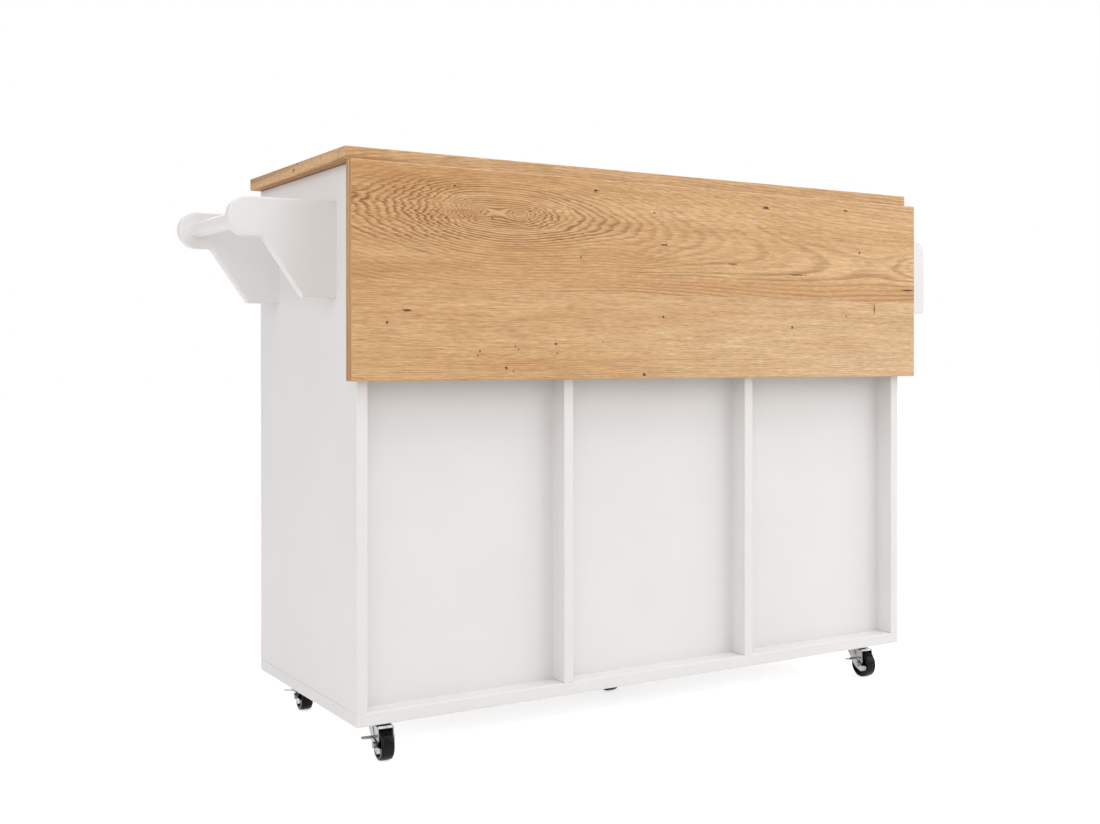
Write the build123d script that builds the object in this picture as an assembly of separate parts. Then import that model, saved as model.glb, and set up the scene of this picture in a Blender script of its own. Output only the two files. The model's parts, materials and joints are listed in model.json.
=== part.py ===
from build123d import *
import os

# Rolling kitchen island, all sizes in millimetres.
# X runs along the island towards the towel rack, Y towards the drop leaf at
# the back and Z up from the floor; left and right are -X and +X.

# Carcass
cabinet_length = 1128
cabinet_depth = 430
panel_height = 826
panel_thickness = 18
base_thickness = 20
partition_spacing = 381
back_recess = 35
back_panel_thickness = 6
back_groove_depth = 5
stretcher_width = 60
board_ease = 1

# Worktop and drop leaf, which share one thickness to lie flush when raised
worktop_thickness = 20
worktop_overhang = 19
leaf_drop = 327
leaf_gap = 1.5

# Leaf hinges
leaf_hinge_axis_out = 1.9
leaf_knuckle_radius = 2.5
leaf_pin_radius = 1.2
leaf_hinge_length = 70
leaf_hinge_width = 26
leaf_hinge_sheet = 1.5
leaf_hinge_screw_side = 24

# Folding stays of the leaf
stay_line_inset = 12
stay_pivot_drop = 110
stay_length = 185
stay_width = 16
stay_sheet = 3
stay_pin_radius = 2.5
stay_pin_head_radius = 4
stay_pin_head_height = 1.2
stay_side_gap = 0.4
stay_track_gap = 1.5
stay_track_sheet = 2
stay_track_width = 18
stay_track_end = 12
stay_stub_height = 1
stay_lug_sheet = 2
stay_lug_foot = 20
stay_lug_height = 30
stay_lug_screw_out = 12
stay_lug_screw_rise = 8

# Towel rack on the right end, spice rack on the left end
rack_reach = 170
rack_height = 148
rack_top_drop = 54
rack_board_thickness = 18
towel_bracket_inset = 78
towel_nose_radius = 30
towel_knee_reach = 116
towel_root_reach = 54
towel_edge_radius = 3
towel_bar_radius = 12.5
towel_bar_socket = 8
spice_end_inset = 90
spice_corner_radius = 28
spice_floor_thickness = 15
spice_rail_thickness = 12
spice_rail_height = 45

# Fronts of the side bays
front_gap = 3
front_thickness = 18
drawer_front_height = 150
door_frame_width = 60
door_panel_recess = 5
pull_spacing = 128
pull_length = 160
pull_projection = 24.5
pull_bar_size = 10
pull_post_radius = 4
door_pull_top_offset = 130
door_pull_side_offset = 30

# Door hinges and catches
door_hinge_length = 60
door_hinge_width = 16
door_hinge_sheet = 1.2
door_knuckle_radius = 3
door_pin_radius = 1.5
door_knuckle_stand_off = 0.2
door_hinge_end_offset = 90
door_hinge_screw_side = 20
catch_length = 40
catch_height = 14
catch_depth = 16
catch_side_offset = 70
catch_gap = 0.3
strike_sheet = 1.2

# Drawers and their runners
drawer_length = 350
drawer_side_height = 110
drawer_side_lift = 15
drawer_side_thickness = 12
drawer_bottom_thickness = 5
drawer_bottom_lift = 10
drawer_groove_depth = 5
runner_space = 13
runner_height = 35
runner_channel_depth = 10
runner_sheet = 1.5
runner_play = 0.4
runner_lift = 35

# Shelves
shelf_thickness = 16
shelf_side_gap = 1
shelf_back_gap = 2
shelf_front_gap = 6
side_shelf_lift = 310
centre_shelf_count = 2
shelf_pin_radius = 2.5
shelf_hole_depth = 8
shelf_hole_pitch = 32
shelf_pin_ledge = 8
shelf_pin_ledge_height = 5
shelf_pin_inset = 45

# Casters
wheel_radius = 25
wheel_width = 20
wheel_edge_radius = 3
wheel_dish_depth = 3
wheel_dish_outer = 19
wheel_dish_inner = 8
caster_trail = 15
caster_top_space = 14
caster_inset_x = 59
caster_inset_y = 46
centre_caster_x = -24
caster_turn = -5  # degrees about the kingpin at rest
caster_plate_size = 46
caster_plate_sheet = 2
caster_plate_corner = 5
caster_hole_spacing = 34
race_radius = 14
race_height = 7.5
kingpin_radius = 4
kingpin_head_radius = 6.5
kingpin_head_height = 1.8
fork_sheet = 2
fork_side_gap = 1.5
fork_top_front = 19
fork_top_rear = 23
fork_lip_height = 4
fork_leg_top_height = 6
fork_knee_front = 17
fork_knee_rear = 10.5
fork_knee_lift = 8
fork_knee_radius = 3
fork_eye_radius = 8
fork_bend_radius = 2
fork_rib_width = 5
fork_rib_height = 0.8
fork_rib_above_axle = 14
fork_rib_below_top = 6
swivel_gap = 0.3
axle_radius = 3
axle_head_radius = 5
axle_head_height = 2.5

# Brake levers, placed from the axle: the tab ahead of and above it, the bent arm behind and below
brake_gap = 0.3
brake_sheet = 1.5
brake_eye_radius = 7.5
brake_tab_lift = 9
brake_tab_reach = 16
brake_tab_width = 13
brake_tab_offset = 14
brake_tab_corner = 5
brake_arm_radius = 4.5
brake_bend_reach = 11
brake_bend_drop = 6.5
brake_tip_reach = 19.5
brake_tip_drop = 4

# Screws
screw_radius = 2
screw_head_radius = 4
screw_head_height = 2.4
screw_head_ease = 1
screw_slot_width = 1.1
screw_slot_length = 5
screw_slot_depth = 1.3
caster_screw_length = 16
board_screw_length = 34
panel_screw_inset = 60
rack_screw_low_inset = 50
rack_screw_top_inset = 20
stretcher_screw_inset = 60
flat_screw_radius = 1.6
flat_head_radius = 3
flat_head_height = 1.1
flat_slot_width = 0.8
flat_slot_length = 3.6
flat_slot_depth = 0.7
hinge_screw_length = 12

# Play
running_play = 0.05
knuckle_gap = 0.2
knuckle_count = 5

# Levels and faces that follow from the sizes
caster_height = 2 * wheel_radius + caster_top_space
base_top = caster_height + base_thickness
panel_top = base_top + panel_height
worktop_top = panel_top + worktop_thickness
half_length = cabinet_length / 2
side_inner = half_length - panel_thickness
partition_inner = (partition_spacing - panel_thickness) / 2
partition_outer = (partition_spacing + panel_thickness) / 2
side_bay_centre = (partition_outer + side_inner) / 2
leaf_hinge_axis_drop = leaf_knuckle_radius + running_play * 2
leaf_stand_off = leaf_hinge_axis_out + leaf_hinge_axis_drop
leaf_reach = leaf_stand_off + worktop_thickness
back_y = cabinet_depth / 2 - (leaf_reach - pull_projection) / 2
front_y = back_y - cabinet_depth
depth_centre = (back_y + front_y) / 2
back_panel_rear = back_y - back_recess
back_panel_front = back_panel_rear - back_panel_thickness
fronts_inner = front_y + front_thickness
leaf_axis_y = back_y + leaf_hinge_axis_out
leaf_axis_z = panel_top - leaf_hinge_axis_drop
leaf_inner = back_y + leaf_stand_off
leaf_top = leaf_axis_z + leaf_hinge_axis_out - leaf_gap
stretcher_bottom = panel_top - panel_thickness
drawer_top = stretcher_bottom - front_gap
drawer_bottom = drawer_top - drawer_front_height
divider_top = drawer_bottom - front_gap
divider_bottom = divider_top - panel_thickness
door_top = divider_bottom - front_gap
door_bottom = base_top + front_gap
door_free_x = partition_outer + front_gap
door_hinge_x = side_inner - front_gap
rack_top = panel_top - rack_top_drop
rack_bottom = rack_top - rack_height


def block(x, y, z):
    """Box between two x, two y and two z values."""
    size = Box(abs(x[1] - x[0]), abs(y[1] - y[0]), abs(z[1] - z[0]))
    return Pos(sum(x) / 2, sum(y) / 2, sum(z) / 2) * size


def board(x, y, z):
    """Box with eased edges."""
    plain = block(x, y, z)
    return chamfer(plain.edges(), board_ease)


def rod_x(radius, x, y, z):
    """Round bar along X between two x values."""
    return Pos(sum(x) / 2, y, z) * Rot(0, 90, 0) * Cylinder(radius, abs(x[1] - x[0]))


def rod_y(radius, x, y, z):
    """Round bar along Y between two y values."""
    return Pos(x, sum(y) / 2, z) * Rot(90, 0, 0) * Cylinder(radius, abs(y[1] - y[0]))


def rod_z(radius, x, y, z):
    """Round bar along Z between two z values."""
    return Pos(x, y, sum(z) / 2) * Cylinder(radius, abs(z[1] - z[0]))


def other_side(shape):
    """The same piece on the left half of the island."""
    return mirror(shape, about=Plane.YZ)


def both_sides(shape):
    """A right-hand piece and its left-hand twin."""
    return [shape, other_side(shape)]


def spread(low, high, count):
    """Places evenly spaced between two ends, both ends included."""
    step = (high - low) / (count - 1)
    return [low + step * index for index in range(count)]


def save(name, *shapes):
    """Write one node, its pieces kept as separate solids."""
    solids = []
    for shape in shapes:
        solids.extend(shape.solids())
    node = solids[0] if len(solids) == 1 else Compound(solids)
    export_step(node, os.path.join("parts", name + ".step"))


def screw(length):
    """Pan-head screw that points up, its head below z = 0."""
    head = rod_z(screw_head_radius, 0, 0, (-screw_head_height, 0))
    head = chamfer(head.edges().sort_by(Axis.Z)[0], screw_head_ease)
    slot_half = screw_slot_length / 2
    width_half = screw_slot_width / 2
    depth = (-screw_head_height, screw_slot_depth - screw_head_height)
    head -= block((-slot_half, slot_half), (-width_half, width_half), depth)
    head -= block((-width_half, width_half), (-slot_half, slot_half), depth)
    return head + rod_z(screw_radius, 0, 0, (0, length))


def screw_hole(length):
    """The hole a screw of this length fills."""
    return rod_z(screw_radius, 0, 0, (0, length))


def flat_hole(length):
    """The countersunk hole that a flat-head screw of this length fills."""
    cone = Cone(flat_head_radius, flat_screw_radius, flat_head_height)
    return Pos(0, 0, flat_head_height / 2) * cone + rod_z(flat_screw_radius, 0, 0, (flat_head_height, length))


def flat_screw(length):
    """Flat-head screw that points up, its head level with z = 0."""
    slot_half = flat_slot_length / 2
    width_half = flat_slot_width / 2
    depth = (0, flat_slot_depth)
    driven = flat_hole(length) - block((-slot_half, slot_half), (-width_half, width_half), depth)
    return driven - block((-width_half, width_half), (-slot_half, slot_half), depth)


def knuckle_bands(low, high, own):
    """Spans of the hinge knuckles, the odd ones or the even ones."""
    step = (high - low) / knuckle_count
    bands = []
    for index in range(knuckle_count):
        if (index % 2 == 0) == own:
            start = low + step * index + knuckle_gap / 2
            bands.append((start, start + step - knuckle_gap))
    return bands


os.makedirs("parts", exist_ok=True)

# Where the screws go: each entry is a place, pointing along the screw
caster_places = {
    "rear_left": (caster_inset_x - half_length, back_y - caster_inset_y),
    "rear_right": (half_length - caster_inset_x, back_y - caster_inset_y),
    "front_left": (caster_inset_x - half_length, front_y + caster_inset_y),
    "front_right": (half_length - caster_inset_x, front_y + caster_inset_y),
    "centre": (centre_caster_x, depth_centre),
}
caster_screw_places = []
for place_x, place_y in caster_places.values():
    for side_x in (-caster_hole_spacing / 2, caster_hole_spacing / 2):
        for side_y in (-caster_hole_spacing / 2, caster_hole_spacing / 2):
            level = caster_height - caster_plate_sheet
            caster_screw_places.append(Pos(place_x + side_x, place_y + side_y, level))

upright_centres = [
    -half_length + panel_thickness / 2,
    -partition_spacing / 2,
    partition_spacing / 2,
    half_length - panel_thickness / 2,
]
panel_screw_places = []
for upright_x in upright_centres:
    for screw_y in spread(front_y + panel_screw_inset, back_y - panel_screw_inset, 3):
        panel_screw_places.append(Pos(upright_x, screw_y, caster_height))

bay_spans = [
    (-side_inner, -partition_outer),
    (-partition_inner, partition_inner),
    (partition_outer, side_inner),
]
stretcher_spans_y = [
    (front_y, front_y + stretcher_width),
    (back_panel_front - stretcher_width, back_panel_front),
]
stretcher_screw_places = []
for bay in bay_spans:
    for span_y in stretcher_spans_y:
        for screw_x in (bay[0] + stretcher_screw_inset, bay[1] - stretcher_screw_inset):
            stretcher_screw_places.append(Pos(screw_x, sum(span_y) / 2, stretcher_bottom))

towel_bracket_spans = {
    "rear": (back_y - towel_bracket_inset - rack_board_thickness, back_y - towel_bracket_inset),
    "front": (front_y + towel_bracket_inset, front_y + towel_bracket_inset + rack_board_thickness),
}
spice_end_spans = {
    "rear": (back_y - spice_end_inset - rack_board_thickness, back_y - spice_end_inset),
    "front": (front_y + spice_end_inset, front_y + spice_end_inset + rack_board_thickness),
}
rack_screw_levels = (rack_bottom + rack_screw_low_inset, rack_top - rack_screw_top_inset)
towel_screw_places = []
spice_screw_places = []
for screw_z in rack_screw_levels:
    for span in towel_bracket_spans.values():
        towel_screw_places.append(Pos(side_inner, sum(span) / 2, screw_z) * Rot(0, 90, 0))
    for span in spice_end_spans.values():
        spice_screw_places.append(Pos(-side_inner, sum(span) / 2, screw_z) * Rot(0, -90, 0))

# Screws of the leaf hinges, then those of the right-hand stay and door
leaf_clear = leaf_knuckle_radius + knuckle_gap
leaf_hinge_centres = (-side_bay_centre, 0, side_bay_centre)
leaf_plate_screw_y = leaf_axis_y - leaf_clear - leaf_hinge_width / 2
leaf_flap_screw_z = leaf_axis_z - leaf_clear - leaf_hinge_width / 2
leaf_plate_screw_places = []
leaf_flap_screw_places = []
for hinge_x in leaf_hinge_centres:
    for screw_x in (hinge_x - leaf_hinge_screw_side, hinge_x + leaf_hinge_screw_side):
        leaf_plate_screw_places.append(Pos(screw_x, leaf_plate_screw_y, panel_top - leaf_hinge_sheet))
        leaf_flap_start = Pos(screw_x, leaf_inner - leaf_hinge_sheet, leaf_flap_screw_z)
        leaf_flap_screw_places.append(leaf_flap_start * Rot(-90, 0, 0))

stay_y = back_y - stay_line_inset
stay_pivot_z = leaf_axis_z - stay_pivot_drop
stay_low_z = stay_pivot_z - stay_length
stay_arm = leaf_axis_y - stay_y
stay_raised_rise = (stay_length**2 - (stay_pivot_drop + stay_arm) ** 2) ** 0.5
stay_high_z = leaf_axis_z - stay_arm - stay_raised_rise
track_z = (stay_low_z - stay_track_end, stay_high_z + stay_track_end)
track_x = (partition_outer, partition_outer + stay_track_sheet)
strut_x = (track_x[1] + stay_track_gap, track_x[1] + stay_track_gap + stay_sheet)
lug_x = (strut_x[1] + stay_side_gap, strut_x[1] + stay_side_gap + stay_lug_sheet)
track_screw_places = [Pos(track_x[1], stay_y, level) * Rot(0, -90, 0) for level in track_z]
lug_screw_places = []
for screw_z in (stay_pivot_z - stay_lug_screw_rise, stay_pivot_z + stay_lug_screw_rise):
    lug_start = Pos(lug_x[0] + stay_lug_screw_out, leaf_inner - stay_lug_sheet, screw_z)
    lug_screw_places.append(lug_start * Rot(-90, 0, 0))

door_clear_y = front_y + knuckle_gap
door_hinge_y = (door_clear_y, door_clear_y + door_hinge_width)
door_hinge_levels = (door_bottom + door_hinge_end_offset, door_top - door_hinge_end_offset)
door_plate_screw_places = []
door_flap_screw_places = []
for hinge_z in door_hinge_levels:
    for screw_z in (hinge_z - door_hinge_screw_side, hinge_z + door_hinge_screw_side):
        door_plate_start = Pos(side_inner - door_hinge_sheet, sum(door_hinge_y) / 2, screw_z)
        door_plate_screw_places.append(door_plate_start * Rot(0, 90, 0))
        door_flap_start = Pos(door_hinge_x + door_hinge_sheet, sum(door_hinge_y) / 2, screw_z)
        door_flap_screw_places.append(door_flap_start * Rot(0, -90, 0))

caster_screw = screw(caster_screw_length)
board_screw = screw(board_screw_length)
board_hole = screw_hole(board_screw_length)
board_screw_places = (
    panel_screw_places + stretcher_screw_places + towel_screw_places + spice_screw_places
)
save("caster_screws", *[place * caster_screw for place in caster_screw_places])
hinge_screw = flat_screw(hinge_screw_length)
hinge_hole = flat_hole(hinge_screw_length)
assembly_screws = [place * board_screw for place in board_screw_places]
assembly_screws += [place * hinge_screw for place in leaf_plate_screw_places]
for place in track_screw_places + door_plate_screw_places:
    assembly_screws += both_sides(place * hinge_screw)
save("assembly_screws", *assembly_screws)
leaf_screws = [place * hinge_screw for place in leaf_flap_screw_places]
for place in lug_screw_places:
    leaf_screws += both_sides(place * hinge_screw)
save("leaf_screws", *leaf_screws)

# Carcass: base, uprights, back panels, stretchers and drawer dividers
base_board = board((-half_length, half_length), (front_y, back_y), (caster_height, base_top))
base_board -= [place * screw_hole(caster_screw_length) for place in caster_screw_places]
base_board -= [place * board_hole for place in panel_screw_places]
save("base_board", base_board)

shelf_back = back_panel_front - shelf_back_gap
side_shelf_front = fronts_inner + shelf_front_gap
centre_shelf_front = front_y + shelf_front_gap
centre_clear = stretcher_bottom - base_top
centre_step = (centre_clear - centre_shelf_count * shelf_thickness) / (centre_shelf_count + 1)
centre_shelf_levels = [
    base_top + centre_step * (index + 1) + shelf_thickness * index
    for index in range(centre_shelf_count)
]
side_shelf_level = base_top + side_shelf_lift


def pin_lines(shelf_front):
    """The two depths at which a shelf rests on pins."""
    return (shelf_front + shelf_pin_inset, shelf_back - shelf_pin_inset)


def pin_level(shelf_level):
    """Height of the pin holes under a shelf."""
    return shelf_level - shelf_pin_ledge_height / 2


def hole_rows(face_x, reach, levels, shelf_front):
    """Shelf-pin holes from an upright's face, one row used and one each side."""
    holes = []
    for level in levels:
        for line_y in pin_lines(shelf_front):
            for step in (-shelf_hole_pitch, 0, shelf_hole_pitch):
                height = pin_level(level) + step
                holes.append(rod_x(shelf_pin_radius, (face_x, face_x + reach), line_y, height))
    return holes


def groove(face_x, reach):
    """Groove for a back panel in an upright's face."""
    return block((face_x, face_x + reach), (back_panel_front, back_panel_rear), (base_top, panel_top))


upright_y = (front_y, back_y)
upright_z = (base_top, panel_top)
side_panel = board((side_inner, half_length), upright_y, upright_z)
side_panel -= groove(side_inner, back_groove_depth)
side_panel -= hole_rows(side_inner, shelf_hole_depth, [side_shelf_level], side_shelf_front)
side_panel -= [place * hinge_hole for place in door_plate_screw_places]
side_panel_left = other_side(side_panel)
side_panel_left -= [place * board_hole for place in panel_screw_places + spice_screw_places]
side_panel_right = side_panel
side_panel_right -= [place * board_hole for place in panel_screw_places + towel_screw_places]
save("side_panel_left", side_panel_left)
save("side_panel_right", side_panel_right)

partition = board((partition_inner, partition_outer), upright_y, upright_z)
partition -= groove(partition_outer, -back_groove_depth)
partition -= groove(partition_inner, back_groove_depth)
partition -= hole_rows(partition_outer, -shelf_hole_depth, [side_shelf_level], side_shelf_front)
partition -= hole_rows(partition_inner, shelf_hole_depth, centre_shelf_levels, centre_shelf_front)
partition -= [place * hinge_hole for place in track_screw_places]
partition_left = other_side(partition)
partition_left -= [place * board_hole for place in panel_screw_places]
partition_right = partition
partition_right -= [place * board_hole for place in panel_screw_places]
save("partition_left", partition_left)
save("partition_right", partition_right)

back_panels = [
    block(
        (bay[0] - back_groove_depth, bay[1] + back_groove_depth),
        (back_panel_front, back_panel_rear),
        (base_top, panel_top),
    )
    for bay in bay_spans
]
save("back_panels", *back_panels)

stretchers = []
for bay in bay_spans:
    for span_y in stretcher_spans_y:
        stretcher = board(bay, span_y, (stretcher_bottom, panel_top))
        stretchers.append(stretcher - [place * board_hole for place in stretcher_screw_places])
save("top_stretchers", *stretchers)

divider = board(
    (partition_outer, side_inner), (front_y, back_panel_front), (divider_bottom, divider_top)
)
save("drawer_dividers", *both_sides(divider))

# Shelves and the pins that carry them
shelves = []
pins = []


def shelf_pin(face_x, toward, line_y, level):
    """Pin in an upright with a flat ledge that points along toward."""
    height = pin_level(level)
    shank = rod_x(shelf_pin_radius, (face_x - toward * shelf_hole_depth, face_x), line_y, height)
    half = shelf_pin_ledge / 2
    ledge = block(
        (face_x, face_x + toward * shelf_pin_ledge),
        (line_y - half, line_y + half),
        (level - shelf_pin_ledge_height, level),
    )
    return shank + ledge


def add_shelf(bay, level, shelf_front):
    """A shelf across a bay with its four pins."""
    span_x = (bay[0] + shelf_side_gap, bay[1] - shelf_side_gap)
    shelves.append(board(span_x, (shelf_front, shelf_back), (level, level + shelf_thickness)))
    for line_y in pin_lines(shelf_front):
        pins.append(shelf_pin(bay[0], 1, line_y, level))
        pins.append(shelf_pin(bay[1], -1, line_y, level))


add_shelf(bay_spans[0], side_shelf_level, side_shelf_front)
add_shelf(bay_spans[2], side_shelf_level, side_shelf_front)
for shelf_level in centre_shelf_levels:
    add_shelf(bay_spans[1], shelf_level, centre_shelf_front)
save("shelves", *shelves)
save("shelf_pins", *pins)

# Worktop and drop leaf
worktop_x = (-half_length - worktop_overhang, half_length + worktop_overhang)
worktop = board(worktop_x, (front_y, back_y), (panel_top, worktop_top))
worktop -= [place * board_hole for place in stretcher_screw_places]
worktop -= [place * hinge_hole for place in leaf_plate_screw_places]
save("worktop", worktop)
drop_leaf = board(worktop_x, (leaf_inner, leaf_inner + worktop_thickness), (leaf_top - leaf_drop, leaf_top))
drop_leaf -= [place * hinge_hole for place in leaf_flap_screw_places]
for place in lug_screw_places:
    drop_leaf -= both_sides(place * hinge_hole)
save("drop_leaf", drop_leaf)

# Leaf hinges: plates and pins under the worktop, flaps on the leaf
def leaf_knuckle(band):
    """One knuckle round the leaf's axis."""
    tube = rod_x(leaf_knuckle_radius, band, leaf_axis_y, leaf_axis_z)
    return tube - rod_x(leaf_pin_radius + running_play, band, leaf_axis_y, leaf_axis_z)


def leaf_hinge_plate(span):
    """Fixed plate of one leaf hinge and its pin."""
    sheet_z = (panel_top - leaf_hinge_sheet, panel_top)
    edge_y = leaf_axis_y - leaf_clear
    plate = block(span, (edge_y - leaf_hinge_width, edge_y), sheet_z)
    pin = rod_x(leaf_pin_radius, span, leaf_axis_y, leaf_axis_z)
    for band in knuckle_bands(span[0], span[1], True):
        arm = block(band, (edge_y, leaf_axis_y), (sheet_z[0], sheet_z[1] - knuckle_gap))
        plate += arm - rod_x(leaf_pin_radius + running_play, band, leaf_axis_y, leaf_axis_z)
        plate += leaf_knuckle(band)
    plate -= [place * hinge_hole for place in leaf_plate_screw_places]
    return [plate, pin]


def leaf_hinge_flap(span):
    """Moving flap of one leaf hinge."""
    sheet_y = (leaf_inner - leaf_hinge_sheet, leaf_inner)
    edge_z = leaf_axis_z - leaf_clear
    flap = block(span, sheet_y, (edge_z - leaf_hinge_width, edge_z))
    for band in knuckle_bands(span[0], span[1], False):
        arm = block(band, (sheet_y[0], sheet_y[1] - knuckle_gap), (edge_z, leaf_axis_z))
        flap += arm - rod_x(leaf_pin_radius + running_play, band, leaf_axis_y, leaf_axis_z)
        flap += leaf_knuckle(band)
    return flap - [place * hinge_hole for place in leaf_flap_screw_places]


leaf_plates = []
leaf_flaps = []
for hinge_x in leaf_hinge_centres:
    hinge_span = (hinge_x - leaf_hinge_length / 2, hinge_x + leaf_hinge_length / 2)
    leaf_plates.extend(leaf_hinge_plate(hinge_span))
    leaf_flaps.append(leaf_hinge_flap(hinge_span))
save("leaf_hinge_plates", *leaf_plates)
save("leaf_hinge_flaps", *leaf_flaps)

# Folding stays: slotted tracks on the partitions, lugs on the leaf, struts between
def bar_outline(half_width, low_z, high_z, centre_y):
    """Upright bar with round ends, drawn on the YZ plane."""
    ends = Pos(centre_y, low_z) * Circle(half_width) + Pos(centre_y, high_z) * Circle(half_width)
    return make_hull(ends.edges())


track_outline = bar_outline(stay_track_width / 2, track_z[0], track_z[1], stay_y)
slot_outline = bar_outline(stay_pin_radius + stay_side_gap, stay_low_z, stay_high_z, stay_y)
track = extrude(Plane.YZ.offset(track_x[0]) * (track_outline - slot_outline), stay_track_sheet)
track -= [place * hinge_hole for place in track_screw_places]
save("leaf_stay_tracks", *both_sides(track))

strut_outline = bar_outline(stay_width / 2, stay_low_z, stay_pivot_z, stay_y)
strut = extrude(Plane.YZ.offset(strut_x[0]) * strut_outline, stay_sheet)
strut -= rod_x(stay_pin_radius + running_play, strut_x, stay_y, stay_pivot_z)
stub_x = (strut_x[0] - stay_stub_height, strut_x[0])
strut += rod_x(stay_pin_radius, stub_x, stay_y, stay_low_z)
save("leaf_stay_right", strut)
save("leaf_stay_left", other_side(strut))

lug_z = (stay_pivot_z - stay_lug_height / 2, stay_pivot_z + stay_lug_height / 2)
lug = block((lug_x[0], lug_x[0] + stay_lug_foot), (leaf_inner - stay_lug_sheet, leaf_inner), lug_z)
lug_half = stay_width / 2
lug += block(lug_x, (stay_y, leaf_inner), (stay_pivot_z - lug_half, stay_pivot_z + lug_half))
lug += rod_x(lug_half, lug_x, stay_y, stay_pivot_z)
lug_head_x = strut_x[0] - stay_side_gap
lug += rod_x(stay_pin_radius, (lug_head_x, lug_x[0]), stay_y, stay_pivot_z)
lug += rod_x(stay_pin_head_radius, (lug_head_x - stay_pin_head_height, lug_head_x), stay_y, stay_pivot_z)
lug -= [place * hinge_hole for place in lug_screw_places]
save("leaf_stay_lugs", *both_sides(lug))

# Towel rack
nose_x = half_length + rack_reach - towel_nose_radius
nose_z = rack_top - towel_nose_radius
nose_bottom = rack_top - 2 * towel_nose_radius
bracket_lines = Curve() + [
    Line((half_length, rack_top), (nose_x, rack_top)),
    ThreePointArc((nose_x, rack_top), (nose_x + towel_nose_radius, nose_z), (nose_x, nose_bottom)),
    Line((nose_x, nose_bottom), (half_length + towel_knee_reach, nose_bottom)),
    Line((half_length + towel_knee_reach, nose_bottom), (half_length + towel_root_reach, rack_bottom)),
    Line((half_length + towel_root_reach, rack_bottom), (half_length, rack_bottom)),
    Line((half_length, rack_bottom), (half_length, rack_top)),
]
bracket_face = make_face(bracket_lines)
bar_ends = (
    towel_bracket_spans["front"][1] - towel_bar_socket,
    towel_bracket_spans["rear"][0] + towel_bar_socket,
)
towel_bar = rod_y(towel_bar_radius, nose_x, bar_ends, nose_z)
for bracket_name, span in towel_bracket_spans.items():
    bracket = extrude(Plane.XZ.offset(-span[1]) * bracket_face, rack_board_thickness)
    rims = bracket.edges().filter_by(Axis.Y, reverse=True)
    rims = rims.filter_by(lambda edge: edge.center().X > half_length + board_ease)
    bracket = fillet(rims, towel_edge_radius)
    bracket -= towel_bar
    bracket -= [place * board_hole for place in towel_screw_places]
    save("towel_bracket_" + bracket_name, bracket)
save("towel_bar", towel_bar)

# Spice rack
spice_outer = -half_length - rack_reach
for end_name, span in spice_end_spans.items():
    spice_end = block((spice_outer, -half_length), span, (rack_bottom, rack_top))
    corner = spice_end.edges().filter_by(Axis.Y).sort_by(Axis.X)[:2].sort_by(Axis.Z)[-1]
    spice_end = fillet(corner, spice_corner_radius)
    spice_end = chamfer(
        spice_end.edges().filter_by(lambda edge: edge.center().X < -half_length - board_ease),
        board_ease,
    )
    spice_end -= [place * board_hole for place in spice_screw_places]
    save("spice_rack_end_" + end_name, spice_end)
spice_y = (spice_end_spans["front"][1], spice_end_spans["rear"][0])
spice_floor_top = rack_bottom + spice_floor_thickness
spice_floor = board((spice_outer, -half_length), spice_y, (rack_bottom, spice_floor_top))
save("spice_rack_floor", spice_floor)
rail_x = (spice_outer, spice_outer + spice_rail_thickness)
spice_rail = board(rail_x, spice_y, (spice_floor_top, spice_floor_top + spice_rail_height))
save("spice_rack_rail", spice_rail)


# Fronts with their pulls
def pull():
    """Bar pull along X that stands out from y = 0 towards the front."""
    half = pull_bar_size / 2
    bar_y = (-pull_projection, pull_bar_size - pull_projection)
    bar = board((-pull_length / 2, pull_length / 2), bar_y, (-half, half))
    for post_x in (-pull_spacing / 2, pull_spacing / 2):
        bar += rod_y(pull_post_radius, post_x, (bar_y[1], 0), 0)
    return bar


drawer_front = board(
    (door_free_x, door_hinge_x), (front_y, fronts_inner), (drawer_bottom, drawer_top)
)
box_low = drawer_bottom + drawer_side_lift
box_z = (box_low, box_low + drawer_side_height)
box_x = (partition_outer + runner_space, side_inner - runner_space)
box_y = (fronts_inner, fronts_inner + drawer_length)
inner_x = (box_x[0] + drawer_side_thickness, box_x[1] - drawer_side_thickness)
bottom_low = box_low + drawer_bottom_lift
bottom_board = block(
    (inner_x[0] - drawer_groove_depth, inner_x[1] + drawer_groove_depth),
    (fronts_inner - drawer_groove_depth, box_y[1]),
    (bottom_low, bottom_low + drawer_bottom_thickness),
)
drawer_front -= bottom_board
drawer_sides = [
    block((box_x[0], inner_x[0]), box_y, box_z) - bottom_board,
    block((inner_x[1], box_x[1]), box_y, box_z) - bottom_board,
]
drawer_back = block(
    inner_x,
    (box_y[1] - drawer_side_thickness, box_y[1]),
    (bottom_low + drawer_bottom_thickness, box_z[1]),
)
drawer_box = Compound(drawer_sides + [drawer_back, bottom_board])
drawer_pull = Pos((door_free_x + door_hinge_x) / 2, front_y, (drawer_bottom + drawer_top) / 2) * pull()

door = board((door_free_x, door_hinge_x), (front_y, fronts_inner), (door_bottom, door_top))
door -= block(
    (door_free_x + door_frame_width, door_hinge_x - door_frame_width),
    (front_y, front_y + door_panel_recess),
    (door_bottom + door_frame_width, door_top - door_frame_width),
)
door_pull_z = door_top - door_pull_top_offset
door_pull = Pos(door_free_x + door_pull_side_offset, front_y, door_pull_z) * Rot(0, 90, 0) * pull()

# Drawer runners: channels on the uprights, slides on the drawer sides
runner_z = (box_low + runner_lift, box_low + runner_lift + runner_height)
slide_z = (runner_z[0] + runner_sheet + runner_play, runner_z[1] - runner_sheet - runner_play)


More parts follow.
